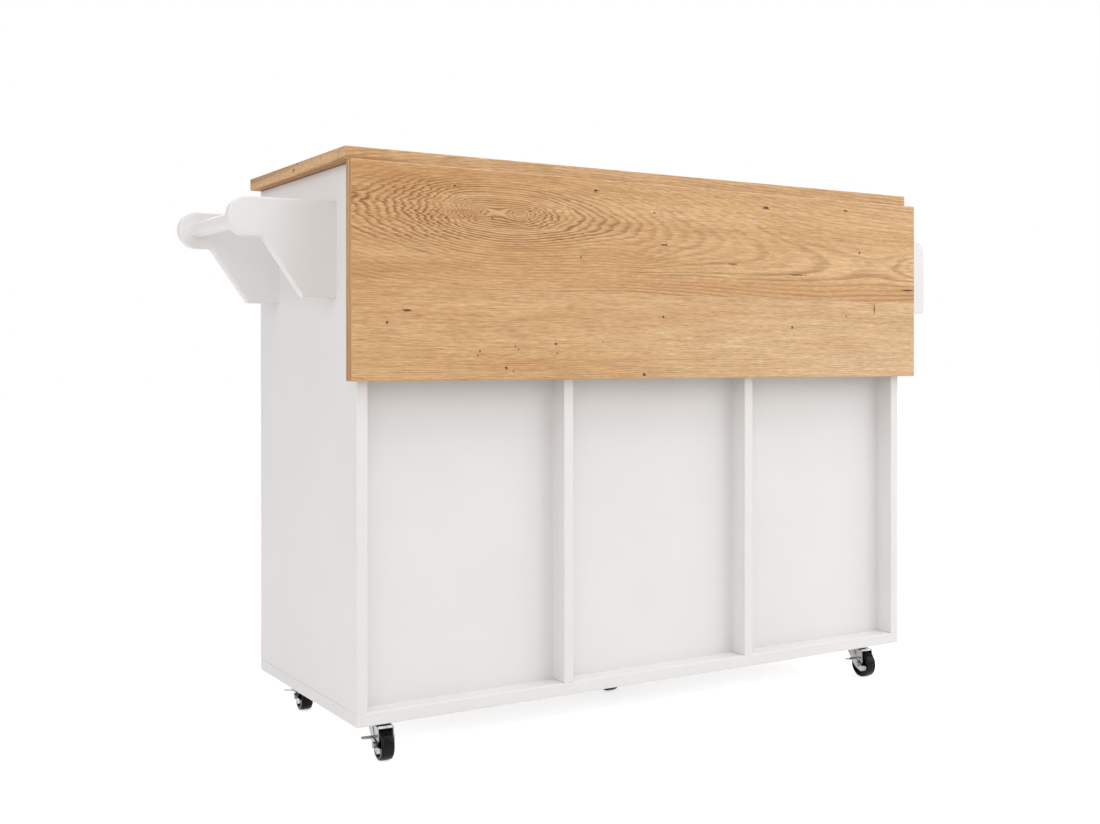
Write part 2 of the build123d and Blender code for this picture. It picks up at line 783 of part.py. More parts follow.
def runner_channel(face_x, toward):
    """Channel on an upright's face, open along toward."""
    channel = block((face_x, face_x + toward * runner_channel_depth), box_y, runner_z)
    inside = (face_x + toward * runner_sheet, face_x + toward * runner_channel_depth)
    return channel - block(inside, box_y, (runner_z[0] + runner_sheet, runner_z[1] - runner_sheet))


def runner_slide(face_x, toward):
    """Slide on a drawer side that runs in the channel."""
    inside = (face_x + toward * (runner_sheet + runner_play), face_x + toward * runner_space)
    return block(inside, box_y, slide_z)


channels = [runner_channel(partition_outer, 1), runner_channel(side_inner, -1)]
save("drawer_runner_channels", *channels, *[other_side(channel) for channel in channels])
drawer_slides = Compound([runner_slide(partition_outer, 1), runner_slide(side_inner, -1)])

# Door hinges: plates and pins on the side panels, flaps on the doors
door_axis_x = side_inner - front_gap / 2
door_axis_y = front_y - door_knuckle_radius - door_knuckle_stand_off


def door_hinge_half(sheet_x, span, own):
    """Sheet and knuckles of one half of a door hinge."""
    half = block(sheet_x, door_hinge_y, span)
    for band in knuckle_bands(span[0], span[1], own):
        bore = rod_z(door_pin_radius + running_play, door_axis_x, door_axis_y, band)
        tube = rod_z(door_knuckle_radius, door_axis_x, door_axis_y, band)
        half += block(sheet_x, (door_axis_y, door_clear_y), band) + tube - bore
    return half


door_plates = []
door_flaps = []
for hinge_z in door_hinge_levels:
    hinge_span = (hinge_z - door_hinge_length / 2, hinge_z + door_hinge_length / 2)
    door_plate = door_hinge_half((side_inner - door_hinge_sheet, side_inner), hinge_span, True)
    door_plates.append(door_plate - [place * hinge_hole for place in door_plate_screw_places])
    door_plates.append(rod_z(door_pin_radius, door_axis_x, door_axis_y, hinge_span))
    door_flap = door_hinge_half((door_hinge_x, door_hinge_x + door_hinge_sheet), hinge_span, False)
    door_flaps.append(door_flap - [place * hinge_hole for place in door_flap_screw_places])
door -= [place * hinge_hole for place in door_flap_screw_places]
door_screws = [place * hinge_screw for place in door_flap_screw_places]
save("door_hinge_plates", *door_plates, *[other_side(plate) for plate in door_plates])

# Magnetic catches under the dividers and their strike plates on the doors
catch_x = (door_free_x + catch_side_offset, door_free_x + catch_side_offset + catch_length)
catch_front = fronts_inner + strike_sheet + catch_gap
catch_z = (divider_bottom - catch_height, divider_bottom)
catch = board(catch_x, (catch_front, catch_front + catch_depth), catch_z)
save("door_catches", *both_sides(catch))
strike_z = (divider_bottom - catch_height, door_top - board_ease)
strike = block(catch_x, (fronts_inner, fronts_inner + strike_sheet), strike_z)
door_fittings = Compound([piece for shape in door_flaps + door_screws + [strike] for piece in shape.solids()])

save("drawer_front_right", drawer_front)
save("drawer_box_right", drawer_box)
save("drawer_pull_right", drawer_pull)
save("drawer_slides_right", drawer_slides)
save("door_right", door)
save("door_pull_right", door_pull)
save("door_fittings_right", door_fittings)
save("drawer_front_left", other_side(drawer_front))
save("drawer_box_left", other_side(drawer_box))
save("drawer_pull_left", other_side(drawer_pull))
save("drawer_slides_left", other_side(drawer_slides))
save("door_left", other_side(door))
save("door_pull_left", other_side(door_pull))
save("door_fittings_left", other_side(door_fittings))

# Casters, drawn about the kingpin at x = y = 0
plate_low = caster_height - caster_plate_sheet
race_low = plate_low - race_height
fork_top = race_low - swivel_gap
fork_under = fork_top - fork_sheet
kingpin_head_top = fork_under - swivel_gap
kingpin_low = kingpin_head_top - kingpin_head_height
fork_inner = wheel_width / 2 + fork_side_gap
fork_outer = fork_inner + fork_sheet
brake_x = (fork_outer + brake_gap, fork_outer + brake_gap + brake_sheet)


def caster_plate():
    """Top plate with ball-race housing and kingpin."""
    half = caster_plate_size / 2
    plate = block((-half, half), (-half, half), (plate_low, caster_height))
    plate = fillet(plate.edges().filter_by(Axis.Z), caster_plate_corner)
    hole_half = caster_hole_spacing / 2
    for hole_x in (-hole_half, hole_half):
        for hole_y in (-hole_half, hole_half):
            plate -= rod_z(screw_radius, hole_x, hole_y, (plate_low, caster_height))
    plate += rod_z(race_radius, 0, 0, (race_low, plate_low))
    plate += rod_z(kingpin_radius, 0, 0, (kingpin_low, race_low))
    return plate + rod_z(kingpin_head_radius, 0, 0, (kingpin_low, kingpin_head_top))


def rounded_bar(start, end, radius):
    """Outline of a flat bar with round ends between two points."""
    ends = Pos(*start) * Circle(radius) + Pos(*end) * Circle(radius)
    return make_hull(ends.edges())


def fork_rib():
    """Outline of the stiffening rib, along the line from the fork's top to the axle."""
    ends = []
    for level in (wheel_radius + fork_rib_above_axle, fork_top - fork_rib_below_top):
        ends.append((caster_trail * (fork_top - level) / (fork_top - wheel_radius), level))
    return rounded_bar(ends[0], ends[1], fork_rib_width / 2)


def caster_fork(braked):
    """Pressed fork and, as a second solid, the axle riveted through it."""
    top_width = fork_top_front + fork_top_rear
    top_middle = (fork_top_rear - fork_top_front) / 2
    outline = Pos(top_middle, fork_top - fork_leg_top_height / 2) * Rectangle(top_width, fork_leg_top_height)
    for reach in (-fork_knee_front, fork_knee_rear):
        outline += Pos(caster_trail + reach, wheel_radius + fork_knee_lift) * Circle(fork_knee_radius)
    outline += Pos(caster_trail, wheel_radius) * Circle(fork_eye_radius)
    leg_outline = make_hull(outline.edges())
    across = (-fork_outer, fork_outer)
    fork = block(across, (-fork_top_front, fork_top_rear), (fork_under, fork_top))
    fork += block(across, (fork_top_rear - fork_sheet, fork_top_rear), (fork_top - fork_lip_height, fork_top))
    for leg_x in (-fork_outer, fork_inner):
        fork += extrude(Plane.YZ.offset(leg_x) * leg_outline, fork_sheet)
    for rib_x in (-fork_outer - fork_rib_height, fork_outer):
        fork += extrude(Plane.YZ.offset(rib_x) * fork_rib(), fork_rib_height)
    bends = fork.edges().filter_by(Axis.Y).group_by(Axis.Z)[-1]
    fork = fillet(bends, fork_bend_radius)
    fork -= rod_z(kingpin_radius + running_play, 0, 0, (fork_under, fork_top))
    nut_x = brake_x[1] + brake_gap if braked else fork_outer
    axle = rod_x(axle_radius, (-fork_outer, nut_x), caster_trail, wheel_radius)
    fork -= axle
    for head in ((-fork_outer - axle_head_height, -fork_outer), (nut_x, nut_x + axle_head_height)):
        axle += rod_x(axle_head_radius, head, caster_trail, wheel_radius)
    return Compound([fork, axle])


def caster_wheel():
    """Wheel with dished sides and a hub that reaches to the fork."""
    half = wheel_width / 2
    wheel = rod_x(wheel_radius, (-half, half), caster_trail, wheel_radius)
    wheel = fillet(wheel.edges().filter_by(GeomType.CIRCLE), wheel_edge_radius)
    for dish in ((-half, wheel_dish_depth - half), (half - wheel_dish_depth, half)):
        wheel -= rod_x(wheel_dish_outer, dish, caster_trail, wheel_radius)
    hub = half + fork_side_gap - swivel_gap
    wheel += rod_x(wheel_dish_inner, (-hub, hub), caster_trail, wheel_radius)
    return wheel - rod_x(axle_radius + running_play, (-hub, hub), caster_trail, wheel_radius)


def caster_brake():
    """Brake lever that turns on the axle, with a tab to tread on and a bent arm."""
    axle = (caster_trail, wheel_radius)
    bend = (caster_trail + brake_bend_reach, wheel_radius - brake_bend_drop)
    tip = (caster_trail + brake_tip_reach, wheel_radius - brake_tip_drop)
    tab_y = caster_trail - brake_tab_offset
    tab_top = wheel_radius + brake_tab_lift
    eye = Pos(*axle) * Circle(brake_eye_radius)
    tab_edge = Pos(tab_y, tab_top - brake_sheet / 2) * Rectangle(brake_tab_width, brake_sheet)
    outline = make_hull((eye + tab_edge).edges())
    outline += make_hull((eye + Pos(*bend) * Circle(brake_arm_radius)).edges())
    outline += rounded_bar(bend, tip, brake_arm_radius)
    lever = extrude(Plane.YZ.offset(brake_x[0]) * outline, brake_sheet)
    tab_span = (tab_y - brake_tab_width / 2, tab_y + brake_tab_width / 2)
    tab = block((brake_x[0], brake_x[1] + brake_tab_reach), tab_span, (tab_top - brake_sheet, tab_top))
    tips = tab.edges().filter_by(Axis.Z).sort_by(Axis.X)[-2:]
    lever += fillet(tips, brake_tab_corner)
    return lever - rod_x(axle_radius + running_play, brake_x, caster_trail, wheel_radius)


wheel_shape = caster_wheel()
brake_shape = caster_brake()
plate_shape = caster_plate()
plates = []
for caster_name, place in caster_places.items():
    plates.append(Pos(place[0], place[1], 0) * plate_shape)
    spot = Pos(place[0], place[1], 0) * Rot(0, 0, caster_turn)
    has_brake = caster_name != "centre"
    save("caster_fork_" + caster_name, spot * caster_fork(has_brake))
    save("caster_wheel_" + caster_name, spot * wheel_shape)
    if has_brake:
        save("caster_brake_" + caster_name, spot * brake_shape)
save("caster_plates", *plates)
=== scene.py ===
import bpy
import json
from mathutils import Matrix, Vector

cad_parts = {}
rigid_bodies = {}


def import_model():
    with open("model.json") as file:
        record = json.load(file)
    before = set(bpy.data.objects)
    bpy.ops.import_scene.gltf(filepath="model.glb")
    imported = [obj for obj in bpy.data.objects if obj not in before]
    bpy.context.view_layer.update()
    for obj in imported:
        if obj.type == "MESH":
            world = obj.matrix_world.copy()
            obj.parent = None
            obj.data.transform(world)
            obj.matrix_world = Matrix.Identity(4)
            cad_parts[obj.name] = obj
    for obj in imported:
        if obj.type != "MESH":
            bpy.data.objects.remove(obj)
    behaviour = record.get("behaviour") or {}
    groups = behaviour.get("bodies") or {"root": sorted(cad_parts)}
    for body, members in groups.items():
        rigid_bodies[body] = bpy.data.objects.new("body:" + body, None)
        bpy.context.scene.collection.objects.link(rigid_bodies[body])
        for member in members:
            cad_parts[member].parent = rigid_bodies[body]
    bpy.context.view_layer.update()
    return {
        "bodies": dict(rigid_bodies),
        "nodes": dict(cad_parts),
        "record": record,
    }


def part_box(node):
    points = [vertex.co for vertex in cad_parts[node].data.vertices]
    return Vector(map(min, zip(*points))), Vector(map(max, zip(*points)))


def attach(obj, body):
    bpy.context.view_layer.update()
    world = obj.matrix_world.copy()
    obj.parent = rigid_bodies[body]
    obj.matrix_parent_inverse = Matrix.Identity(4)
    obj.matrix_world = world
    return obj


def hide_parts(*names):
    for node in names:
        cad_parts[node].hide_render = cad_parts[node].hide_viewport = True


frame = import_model()

import json
import math

import bpy
from bpy.props import (
    FloatProperty,
    FloatVectorProperty,
    PointerProperty,
)

bl_info = {
    "name": "Rolling Kitchen Island",
    "version": (1, 0, 0),
    "blender": (4, 5, 0),
    "location": "View3D > Sidebar > Island",
    "description": "Oak, paint, metal and plastic finishes for a rolling kitchen island",
    "category": "Object",
}

NODES = frame["nodes"]


# Settings


class IslandOakSettings(bpy.types.PropertyGroup):
    """Look of the oak boards."""

    light: FloatVectorProperty(
        name="Light wood", description="Colour of the pale early wood",
        subtype="COLOR", size=3, min=0, max=1, default=(0.690, 0.445, 0.228),
    )
    pale: FloatVectorProperty(
        name="Pale plank", description="Colour of the early wood in the palest plank",
        subtype="COLOR", size=3, min=0, max=1, default=(0.705, 0.480, 0.275),
    )
    middle: FloatVectorProperty(
        name="Middle wood", description="Colour between the growth rings",
        subtype="COLOR", size=3, min=0, max=1, default=(0.500, 0.258, 0.098),
    )
    dark: FloatVectorProperty(
        name="Ring lines", description="Colour of the dark late wood",
        subtype="COLOR", size=3, min=0, max=1, default=(0.255, 0.108, 0.034),
    )
    knot: FloatVectorProperty(
        name="Pin knots", description="Colour of the small knots and checks",
        subtype="COLOR", size=3, min=0, max=1, default=(0.050, 0.018, 0.006),
    )


class IslandPaintSettings(bpy.types.PropertyGroup):
    """Look of the white boards."""

    white: FloatVectorProperty(
        name="White", description="Colour of the satin paint",
        subtype="COLOR", size=3, min=0, max=1, default=(0.797, 0.778, 0.764),
    )
    roughness: FloatProperty(
        name="Roughness", description="How dull the paint is",
        subtype="FACTOR", min=0, max=1, default=0.42,
    )


class IslandMetalSettings(bpy.types.PropertyGroup):
    """Look of the metal fittings and wheels."""

    zinc: FloatVectorProperty(
        name="Zinc", description="Colour of the plated fittings",
        subtype="COLOR", size=3, min=0, max=1, default=(0.640, 0.640, 0.650),
    )
    bright: FloatVectorProperty(
        name="Bright plate", description="Colour of the pressed caster steel",
        subtype="COLOR", size=3, min=0, max=1, default=(0.520, 0.520, 0.530),
    )
    nickel: FloatVectorProperty(
        name="Nickel", description="Colour of the brushed pulls",
        subtype="COLOR", size=3, min=0, max=1, default=(0.600, 0.575, 0.540),
    )
    wheel: FloatVectorProperty(
        name="Wheel", description="Colour of the moulded wheels",
        subtype="COLOR", size=3, min=0, max=1, default=(0.0045, 0.0045, 0.0050),
    )
    # The caster plates are black, which darkens the strip between the fork tops and the base
    black: FloatVectorProperty(
        name="Black plate", description="Colour of the coated caster plates",
        subtype="COLOR", size=3, min=0, max=1, default=(0.022, 0.022, 0.024),
    )


class IslandWheelSettings(bpy.types.PropertyGroup):
    """Sizes of the caster wheels."""

    radius: FloatProperty(
        name="Radius", description="From the axle to the middle of the tread",
        unit="LENGTH", min=0.001, default=0.025,
    )
    width: FloatProperty(
        name="Width", description="Across the tread",
        unit="LENGTH", min=0.001, default=0.020,
    )
    crown: FloatProperty(
        name="Crown", description="How far the tread swells in the middle",
        unit="LENGTH", min=0, default=0.0004,
    )
    edge_radius: FloatProperty(
        name="Edge radius", description="Rounding between tread and sides",
        unit="LENGTH", min=0, default=0.0028,
    )
    dish_radius: FloatProperty(
        name="Dish radius", description="Radius of the hollow in each side",
        unit="LENGTH", min=0, default=0.0190,
    )
    dish_depth: FloatProperty(
        name="Dish depth", description="Depth of the hollow in each side",
        unit="LENGTH", min=0, default=0.0030,
    )
    dish_wall: FloatProperty(
        name="Dish slope", description="How far the wall of the hollow leans in",
        unit="LENGTH", min=0, default=0.0010,
    )
    hub_radius: FloatProperty(
        name="Hub radius", description="Radius of the boss round the axle",
        unit="LENGTH", min=0, default=0.0080,
    )
    hub_stand: FloatProperty(
        name="Hub stand", description="How far the boss stands out of the side",
        unit="LENGTH", min=0, default=0.0010,
    )
    bore_radius: FloatProperty(
        name="Bore", description="Radius of the hole for the axle",
        unit="LENGTH", min=0, default=0.0032,
    )
    turn: FloatProperty(
        name="Turn", description="How far the casters are turned about their pins at rest",
        subtype="ANGLE", unit="ROTATION", default=math.radians(-5.0),
    )


class IslandStageSettings(bpy.types.PropertyGroup):
    """Camera, lamps and floor."""

    eye: FloatVectorProperty(
        name="Eye", description="Where the camera stands",
        subtype="TRANSLATION", unit="LENGTH", size=3, default=(1.328, 2.014, 0.613),
    )
    heading: FloatProperty(
        name="Heading", description="Turn of the level camera about the vertical",
        subtype="ANGLE", unit="ROTATION", default=math.radians(148.554),
    )
    lens: FloatProperty(
        name="Lens", description="Focal length on a 36 mm wide sensor, in millimetres",
        min=10, default=42.547,
    )
    rise: FloatProperty(
        name="Lens rise", description="Vertical shift that puts the horizon where it is seen",
        default=-0.0478,
    )
    slide: FloatProperty(
        name="Lens slide", description="Sideways shift that puts the island where it is seen",
        default=0.0005,
    )
    key_power: FloatProperty(
        name="Key lamp", description="Power of the large soft lamp",
        unit="POWER", min=0, default=59.0,
    )
    fill_power: FloatProperty(
        name="Fill lamps", description="Power of each lamp beside the towel rack",
        unit="POWER", min=0, default=18.0,
    )
    front_power: FloatProperty(
        name="Front lamp", description="Power of the lamp on the drawers' side",
        unit="POWER", min=0, default=60.0,
    )
    top_power: FloatProperty(
        name="Top lamp", description="Power of the soft lamp overhead",
        unit="POWER", min=0, default=32.0,
    )
    sky: FloatProperty(
        name="Room light", description="Strength of the even light from all round",
        min=0, default=0.42,
    )
    floor: FloatVectorProperty(
        name="Floor", description="Colour of the plain floor",
        subtype="COLOR", size=3, min=0, max=1, default=(0.90, 0.90, 0.90),
    )
    floor_glow: FloatProperty(
        name="Floor glow", description="How far the floor is lifted to white where it is seen",
        min=0, default=0.7,
    )


# Wiring of shader nodes


class Wiring:
    """Adds nodes to one tree and returns their sockets."""

    def __init__(self, tree):
        self.tree = tree

    def node(self, kind, **settings):
        made = self.tree.nodes.new(kind)
        for key, value in settings.items():
            setattr(made, key, value)
        return made

    def plug(self, value, socket):
        if isinstance(value, bpy.types.NodeSocket):
            self.tree.links.new(value, socket)
        else:
            socket.default_value = value

    def math(self, operation, *values, clamp=False):
        made = self.node("ShaderNodeMath", operation=operation, use_clamp=clamp)
        for value, socket in zip(values, made.inputs):
            self.plug(value, socket)
        return made.outputs[0]

    def blend(self, factor, first, second, kind="MIX"):
        made = self.node("ShaderNodeMix", data_type="RGBA", blend_type=kind)
        self.plug(factor, made.inputs["Factor"])
        self.plug(first, made.inputs[6])
        self.plug(second, made.inputs[7])
        return made.outputs[2]

    def lerp(self, factor, first, second):
        made = self.node("ShaderNodeMix", data_type="FLOAT")
        self.plug(factor, made.inputs["Factor"])
        self.plug(first, made.inputs[2])
        self.plug(second, made.inputs[3])
        return made.outputs[0]

    def point(self, x, y, z):
        made = self.node("ShaderNodeCombineXYZ")
        for value, socket in zip((x, y, z), made.inputs):
            self.plug(value, socket)
        return made.outputs[0]

    def noise(self, point, scale, detail):
        made = self.node("ShaderNodeTexNoise", noise_dimensions="3D")
        self.plug(point, made.inputs["Vector"])
        self.plug(scale, made.inputs["Scale"])
        self.plug(detail, made.inputs["Detail"])
        return made.outputs["Fac"]

    def times(self, first, second, clamp=False):
        return self.math("MULTIPLY", first, second, clamp=clamp)

    def more(self, value, amount, base):
        """A base with an amount times a value on top."""
        return self.math("MULTIPLY_ADD", value, amount, base)

    def inverse(self, value):
        """1 less a value."""
        return self.math("SUBTRACT", 1.0, value)

    def swing(self, noise, amount, base, clamp=False):
        """A base moved up and down by a noise round one half."""
        return self.math("MULTIPLY_ADD", self.math("SUBTRACT", noise, 0.5), amount, base, clamp=clamp)

    def fade(self, value, low, high):
        """0 below low, 1 above high and smooth between."""
        made = self.node("ShaderNodeMapRange", interpolation_type="SMOOTHSTEP")
        self.plug(value, made.inputs["Value"])
        self.plug(low, made.inputs["From Min"])
        self.plug(high, made.inputs["From Max"])
        return made.outputs["Result"]

    def near(self, value, level, low, high):
        """1 within low of a level, 0 beyond high and smooth between."""
        off = self.math("ABSOLUTE", self.math("SUBTRACT", value, level))
        return self.inverse(self.fade(off, low, high))

    def grain(self, run, side, along, across, layer, detail):
        """Noise drawn out along the fibres, on a layer of its own."""
        run, side = self.times(run, along), self.times(side, across)
        return self.noise(self.point(run, side, layer), 1.0, detail)

    def ellipse(self, entry, along, across):
        """Square of the distance from a centre, in half sizes."""
        run = self.math("SUBTRACT", entry["Along"], entry[along])
        side = self.math("SUBTRACT", entry["Across"], entry[across])
        run = self.math("DIVIDE", run, entry["Half length"])
        side = self.math("DIVIDE", side, entry["Half width"])
        return self.more(run, run, self.times(side, side))

    def group(self, tree, **values):
        made = self.node("ShaderNodeGroup", node_tree=tree)
        for key, value in values.items():
            self.plug(value, made.inputs[key.replace("_", " ").capitalize()])
        return made.outputs

    def place(self):
        """Object coordinates."""
        return self.node("ShaderNodeTexCoord").outputs["Object"]

    def axes(self):
        """Object coordinates, separated."""
        parts = self.node("ShaderNodeSeparateXYZ")
        self.plug(self.place(), parts.inputs["Vector"])
        return parts.outputs


def new_group(name, inputs, outputs):
    """An empty shader group with named sockets and its wiring."""
    tree = bpy.data.node_groups.new(name, "ShaderNodeTree")
    kinds = {float: "NodeSocketFloat", tuple: "NodeSocketColor", str: "NodeSocketVector"}
    for title, value in inputs:
        socket = tree.interface.new_socket(title, in_out="INPUT", socket_type=kinds[type(value)])
        if not isinstance(value, str):
            socket.default_value = value
    for title, kind in outputs:
        tree.interface.new_socket(title, in_out="OUTPUT", socket_type=kinds[kind])
    wiring = Wiring(tree)
    entry = wiring.node("NodeGroupInput")
    leave = wiring.node("NodeGroupOutput")
    return tree, wiring, entry.outputs, leave.inputs


def new_material(name):
    """A material with a Principled shader, its wiring and the shader's inputs."""
    material = bpy.data.materials.new(name)
    material.use_nodes = True
    tree = material.node_tree
    shader = tree.nodes["Principled BSDF"]
    return material, Wiring(tree), shader.inputs


def bump(wiring, height, distance, strength, target):
    """Feed a height through a Bump node into a shader's Normal."""
    made = wiring.node("ShaderNodeBump")
    made.inputs["Distance"].default_value = distance
    made.inputs["Strength"].default_value = strength
    wiring.plug(height, made.inputs["Height"])
    wiring.plug(made.outputs["Normal"], target)


def paint_nodes(material, names):
    """Give a material to CAD nodes by name."""
    for name in names:
        node = NODES[name]
        node.data.materials.clear()
        node.data.materials.append(material)


def paint_slot(material, slot):
    """Give a material to the CAD nodes of one material slot."""
    parts = frame["record"]["subparts"]
    paint_nodes(material, [part["node"] for part in parts if part["material_slot"] == slot])


def solid(colour):
    """A colour with full alpha."""
    return (*colour, 1.0)


# Oak


# Noise of the wood: cycles per metre along and across the fibres, layer, detail
GRAIN = {
    "flame": (9.0, 100.0, 0.3, 2.0),
    "fray": (45.0, 620.0, 2.9, 1.0),
    "sway": (2.6, 11.0, 0.7, 2.0),
    "ragged": (420.0, 900.0, 4.6, 1.0),
    "patch": (6.0, 30.0, 3.1, 2.0),
    "band": (1.6, 24.0, 1.7, 3.0),
    "cloud": (11.0, 34.0, 6.4, 2.0),
    "streak": (15.0, 330.0, 0.4, 3.0),
    "fibre": (55.0, 780.0, 5.2, 2.0),
    "pore": (95.0, 1900.0, 8.8, 0.0),
}
FRAY_SHARE = 0.35

# Step in the noise from one plank to the next, along and across
PLANK_STEP = (7.3, 5.1)

# Long figures: how the rings widen from the foci, and how the figure is drawn out
RING_POWER = 0.35
FOCUS_SPREAD = 2.0
FOCUS_PULL = (1.15, 0.80)

# Ring lines: where they rise and fall within a year, and how they differ by year, patch and streak
RING_RISE = (0.28, 0.80)
RING_FALL = (0.86, 1.0)
YEAR_STEP = 3.17
YEAR_FADE = (0.28, 0.62)
YEAR_LEAST = 0.45
PATCH_FADE = (0.30, 0.62)
PATCH_LEAST = 0.60
DASH_FADE = (0.35, 0.65)
DASH_LEAST = 0.72

# Pores, pin knots and glue lines: their edges, and how far they darken the wood
PORE_FADE = (0.58, 0.72)
PORE_LEAST = 0.45
PORE_DARK = 0.38
KNOT_FADE = (0.3, 1.1)
KNOT_RAGGED = (3.4, -0.7)
KNOT_DARK = 0.9
SEAM_FADE = (0.0002, 0.0014)
SEAM_DARK = 0.14

# How far the noises move tone and shade
BAND_TONE = 1.15
CLOUD_TONE = 0.45
STREAK_SHADE = 0.55
FIBRE_SHADE = 0.80
SHADE_WARMTH = 1.5
RED_WOOD = (0.90, 0.76, 0.66, 1.0)
RED_FADE = (0.3, 0.7)

# Roughness, heights and gloss
OAK_ROUGHNESS = 0.50
STREAK_ROUGHNESS = 0.16
PORE_ROUGHNESS = 0.12
FIBRE_HEIGHT = 0.4
PORE_HEIGHT = -1.0
DASH_HEIGHT = -0.3
KNOT_HEIGHT = -1.2
OAK_BUMP = (0.0002, 0.35)
OAK_SPECULAR = 0.25

# Thickness of the skin by which faces are told apart, in metres
SKIN = 0.0004

# Share of the rings, and contrast, on the end faces
END_RINGS = 0.30
END_CONTRAST = 0.85

# The leaf's figure, in metres along and down its outer face
LEAF_SEAM = 0.186
LEAF_WARP = {"flame": 0.042, "sway": 0.014}
LEAF_FOCI = (0.204, 0.288)
LEAF_EYE_LEVEL = 0.066
LEAF_SINK = 0.055
LEAF_SINK_REACH = (0.42, 1.0)
LEAF_FIGURE = {"slenderness": 0.40, "rings": 84.0}
LEAF_LOWER_RINGS = 290.0

# Where contrast, tone and red change over the leaf, and by how much
LEAF_EYE_AREA = (0.19, LEAF_EYE_LEVEL + 0.008, 0.28, 0.050, 1.0)
LEAF_EYE_FADE = (0.30, 0.68)
LEAF_SEAM_AREA = {"side": (0.090, 0.150), "run": (0.10, 0.90)}
LEAF_CONTRAST = {"plain": 0.32, "eye": 0.90, "seam": 0.42, "lower": 0.30}
# The edge tone lifts the painted highlight along the leaf's upper edge
LEAF_TONE = {"upper": 0.36, "lower": 0.60, "eye": 0.08, "end": -0.35, "edge": 0.55}
# Painted light: both planks grow lighter along the leaf away from the towel rack, and the lower one
# paler, as if lit more from that side
LEAF_UPPER_LIGHT_RISE = 0.44
LEAF_UPPER_REACH = (0.0, 1.0)
LEAF_LOWER_LIGHT_RISE = 0.26
LEAF_LOWER_REACH = (0.1, 1.0)
LEAF_PALE_LIGHT_REACH = (0.2, 1.0)
LEAF_RED = {"above_seam": 0.012, "width": (0.004, 0.022), "run": (0.25, 0.8), "end": 0.6}

# Painted highlight: a pale line along the leaf's eased upper edge; where it fades out below the edge
LEAF_EDGE_HIGHLIGHT = (0.0008, 0.0024)

# The worktop's figure, in metres along it and over it from its back edge
WORKTOP_SEAMS = (0.155, 0.300)
WORKTOP_WARP = {"flame": 0.034, "sway": 0.014}
WORKTOP_FOCI = (
    ((0.300, 0.410), 0.080),
    ((0.790, 0.900), 0.232),
    ((0.140, 0.240), 0.372),
)
WORKTOP_FIGURE = {"slenderness": 0.30, "rings": 66.0}
# The underside entries paint shade on the worktop's underside: a darker tone and more contrast
WORKTOP_TONE = {"plain": 0.90, "plank": 0.10, "plank_step": 2.4, "end": -0.05, "under": -1.5}
WORKTOP_CONTRAST = {"plain": 0.40, "under": 0.5}
WORKTOP_END_RED = 0.45
WORKTOP_PALE = 0.4

# Dark bands on the worktop's back edge by the towel rack: height, half height, depth of tone
WORKTOP_EDGE_BANDS = ((0.9138, 0.0032, 1.0), (0.9264, 0.0022, 0.5))
EDGE_BAND_START = (0.500, 0.522)
EDGE_BAND_CORE = 0.3

# Painted contact shadow: a dark line on the worktop's underside along the outer faces of the side
# panels
CONTACT_SHADOW_FADE = (0.0006, 0.0034)
CONTACT_SHADOW_DARK = 0.65

# Eyes: along and across the board, half sizes in metres, rings
LEAF_EYES = ((1.190, 0.115, 0.070, 0.030, -5.0), (0.516, 0.125, 0.045, 0.020, -3.0))
LEAF_LOWER_EYES = ((0.050, 0.243, 0.050, 0.022, 5.0), (0.720, 0.262, 0.100, 0.020, 4.0))

# Pin knots and checks: along and across the board, half length and half width
LEAF_KNOTS = (
    (0.170, 0.029, 0.0022, 0.0020), (0.429, 0.019, 0.0045, 0.0020), (0.547, 0.048, 0.0030, 0.0012),
    (0.568, 0.101, 0.0090, 0.0016), (0.090, 0.221, 0.0100, 0.0018), (0.057, 0.240, 0.0026, 0.0025),
    (0.352, 0.270, 0.0026, 0.0020), (0.261, 0.308, 0.0030, 0.0022), (0.526, 0.320, 0.0036, 0.0030),
    (0.792, 0.025, 0.0090, 0.0030), (0.985, 0.019, 0.0050, 0.0018), (1.021, 0.095, 0.0030, 0.0028),
    (0.715, 0.128, 0.0120, 0.0011), (0.864, 0.142, 0.0200, 0.0012), (1.147, 0.162, 0.0180, 0.0018),
    (1.059, 0.201, 0.0016, 0.0100), (0.854, 0.237, 0.0024, 0.0030), (0.214, 0.282, 0.0022, 0.0018),
    (0.210, 0.289, 0.0016, 0.0012), (0.277, 0.274, 0.0018, 0.0014), (0.283, 0.279, 0.0014, 0.0012),
    (0.355, 0.285, 0.0014, 0.0016), (0.274, 0.313, 0.0018, 0.0014), (0.443, 0.266, 0.0016, 0.0012),
    (0.566, 0.223, 0.0024, 0.0022), (0.987, 0.215, 0.0014, 0.0022), (0.858, 0.251, 0.0012, 0.0018),
    (0.400, 0.129, 0.0012, 0.0034), (0.304, 0.060, 0.0022, 0.0012), (0.236, 0.075, 0.0018, 0.0012),
)
WORKTOP_KNOTS = (
    (0.210, 0.040, 0.0050, 0.0022), (0.530, 0.150, 0.0090, 0.0014), (0.900, 0.060, 0.0030, 0.0028),
    (0.700, 0.310, 0.0110, 0.0015), (1.050, 0.270, 0.0026, 0.0024), (0.330, 0.250, 0.0030, 0.0020),
    (0.095, 0.180, 0.0080, 0.0013), (0.450, 0.370, 0.0028, 0.0026), (0.990, 0.395, 0.0100, 0.0014),
)
# On the worktop's ends the first two are Y and Z
WORKTOP_END_KNOTS = (
    (0.001, 0.9190, 0.0042, 0.0032), (0.019, 0.9268, 0.0024, 0.0014), (0.117, 0.9225, 0.0024, 0.0010),
    (0.190, 0.9230, 0.0022, 0.0014),
)


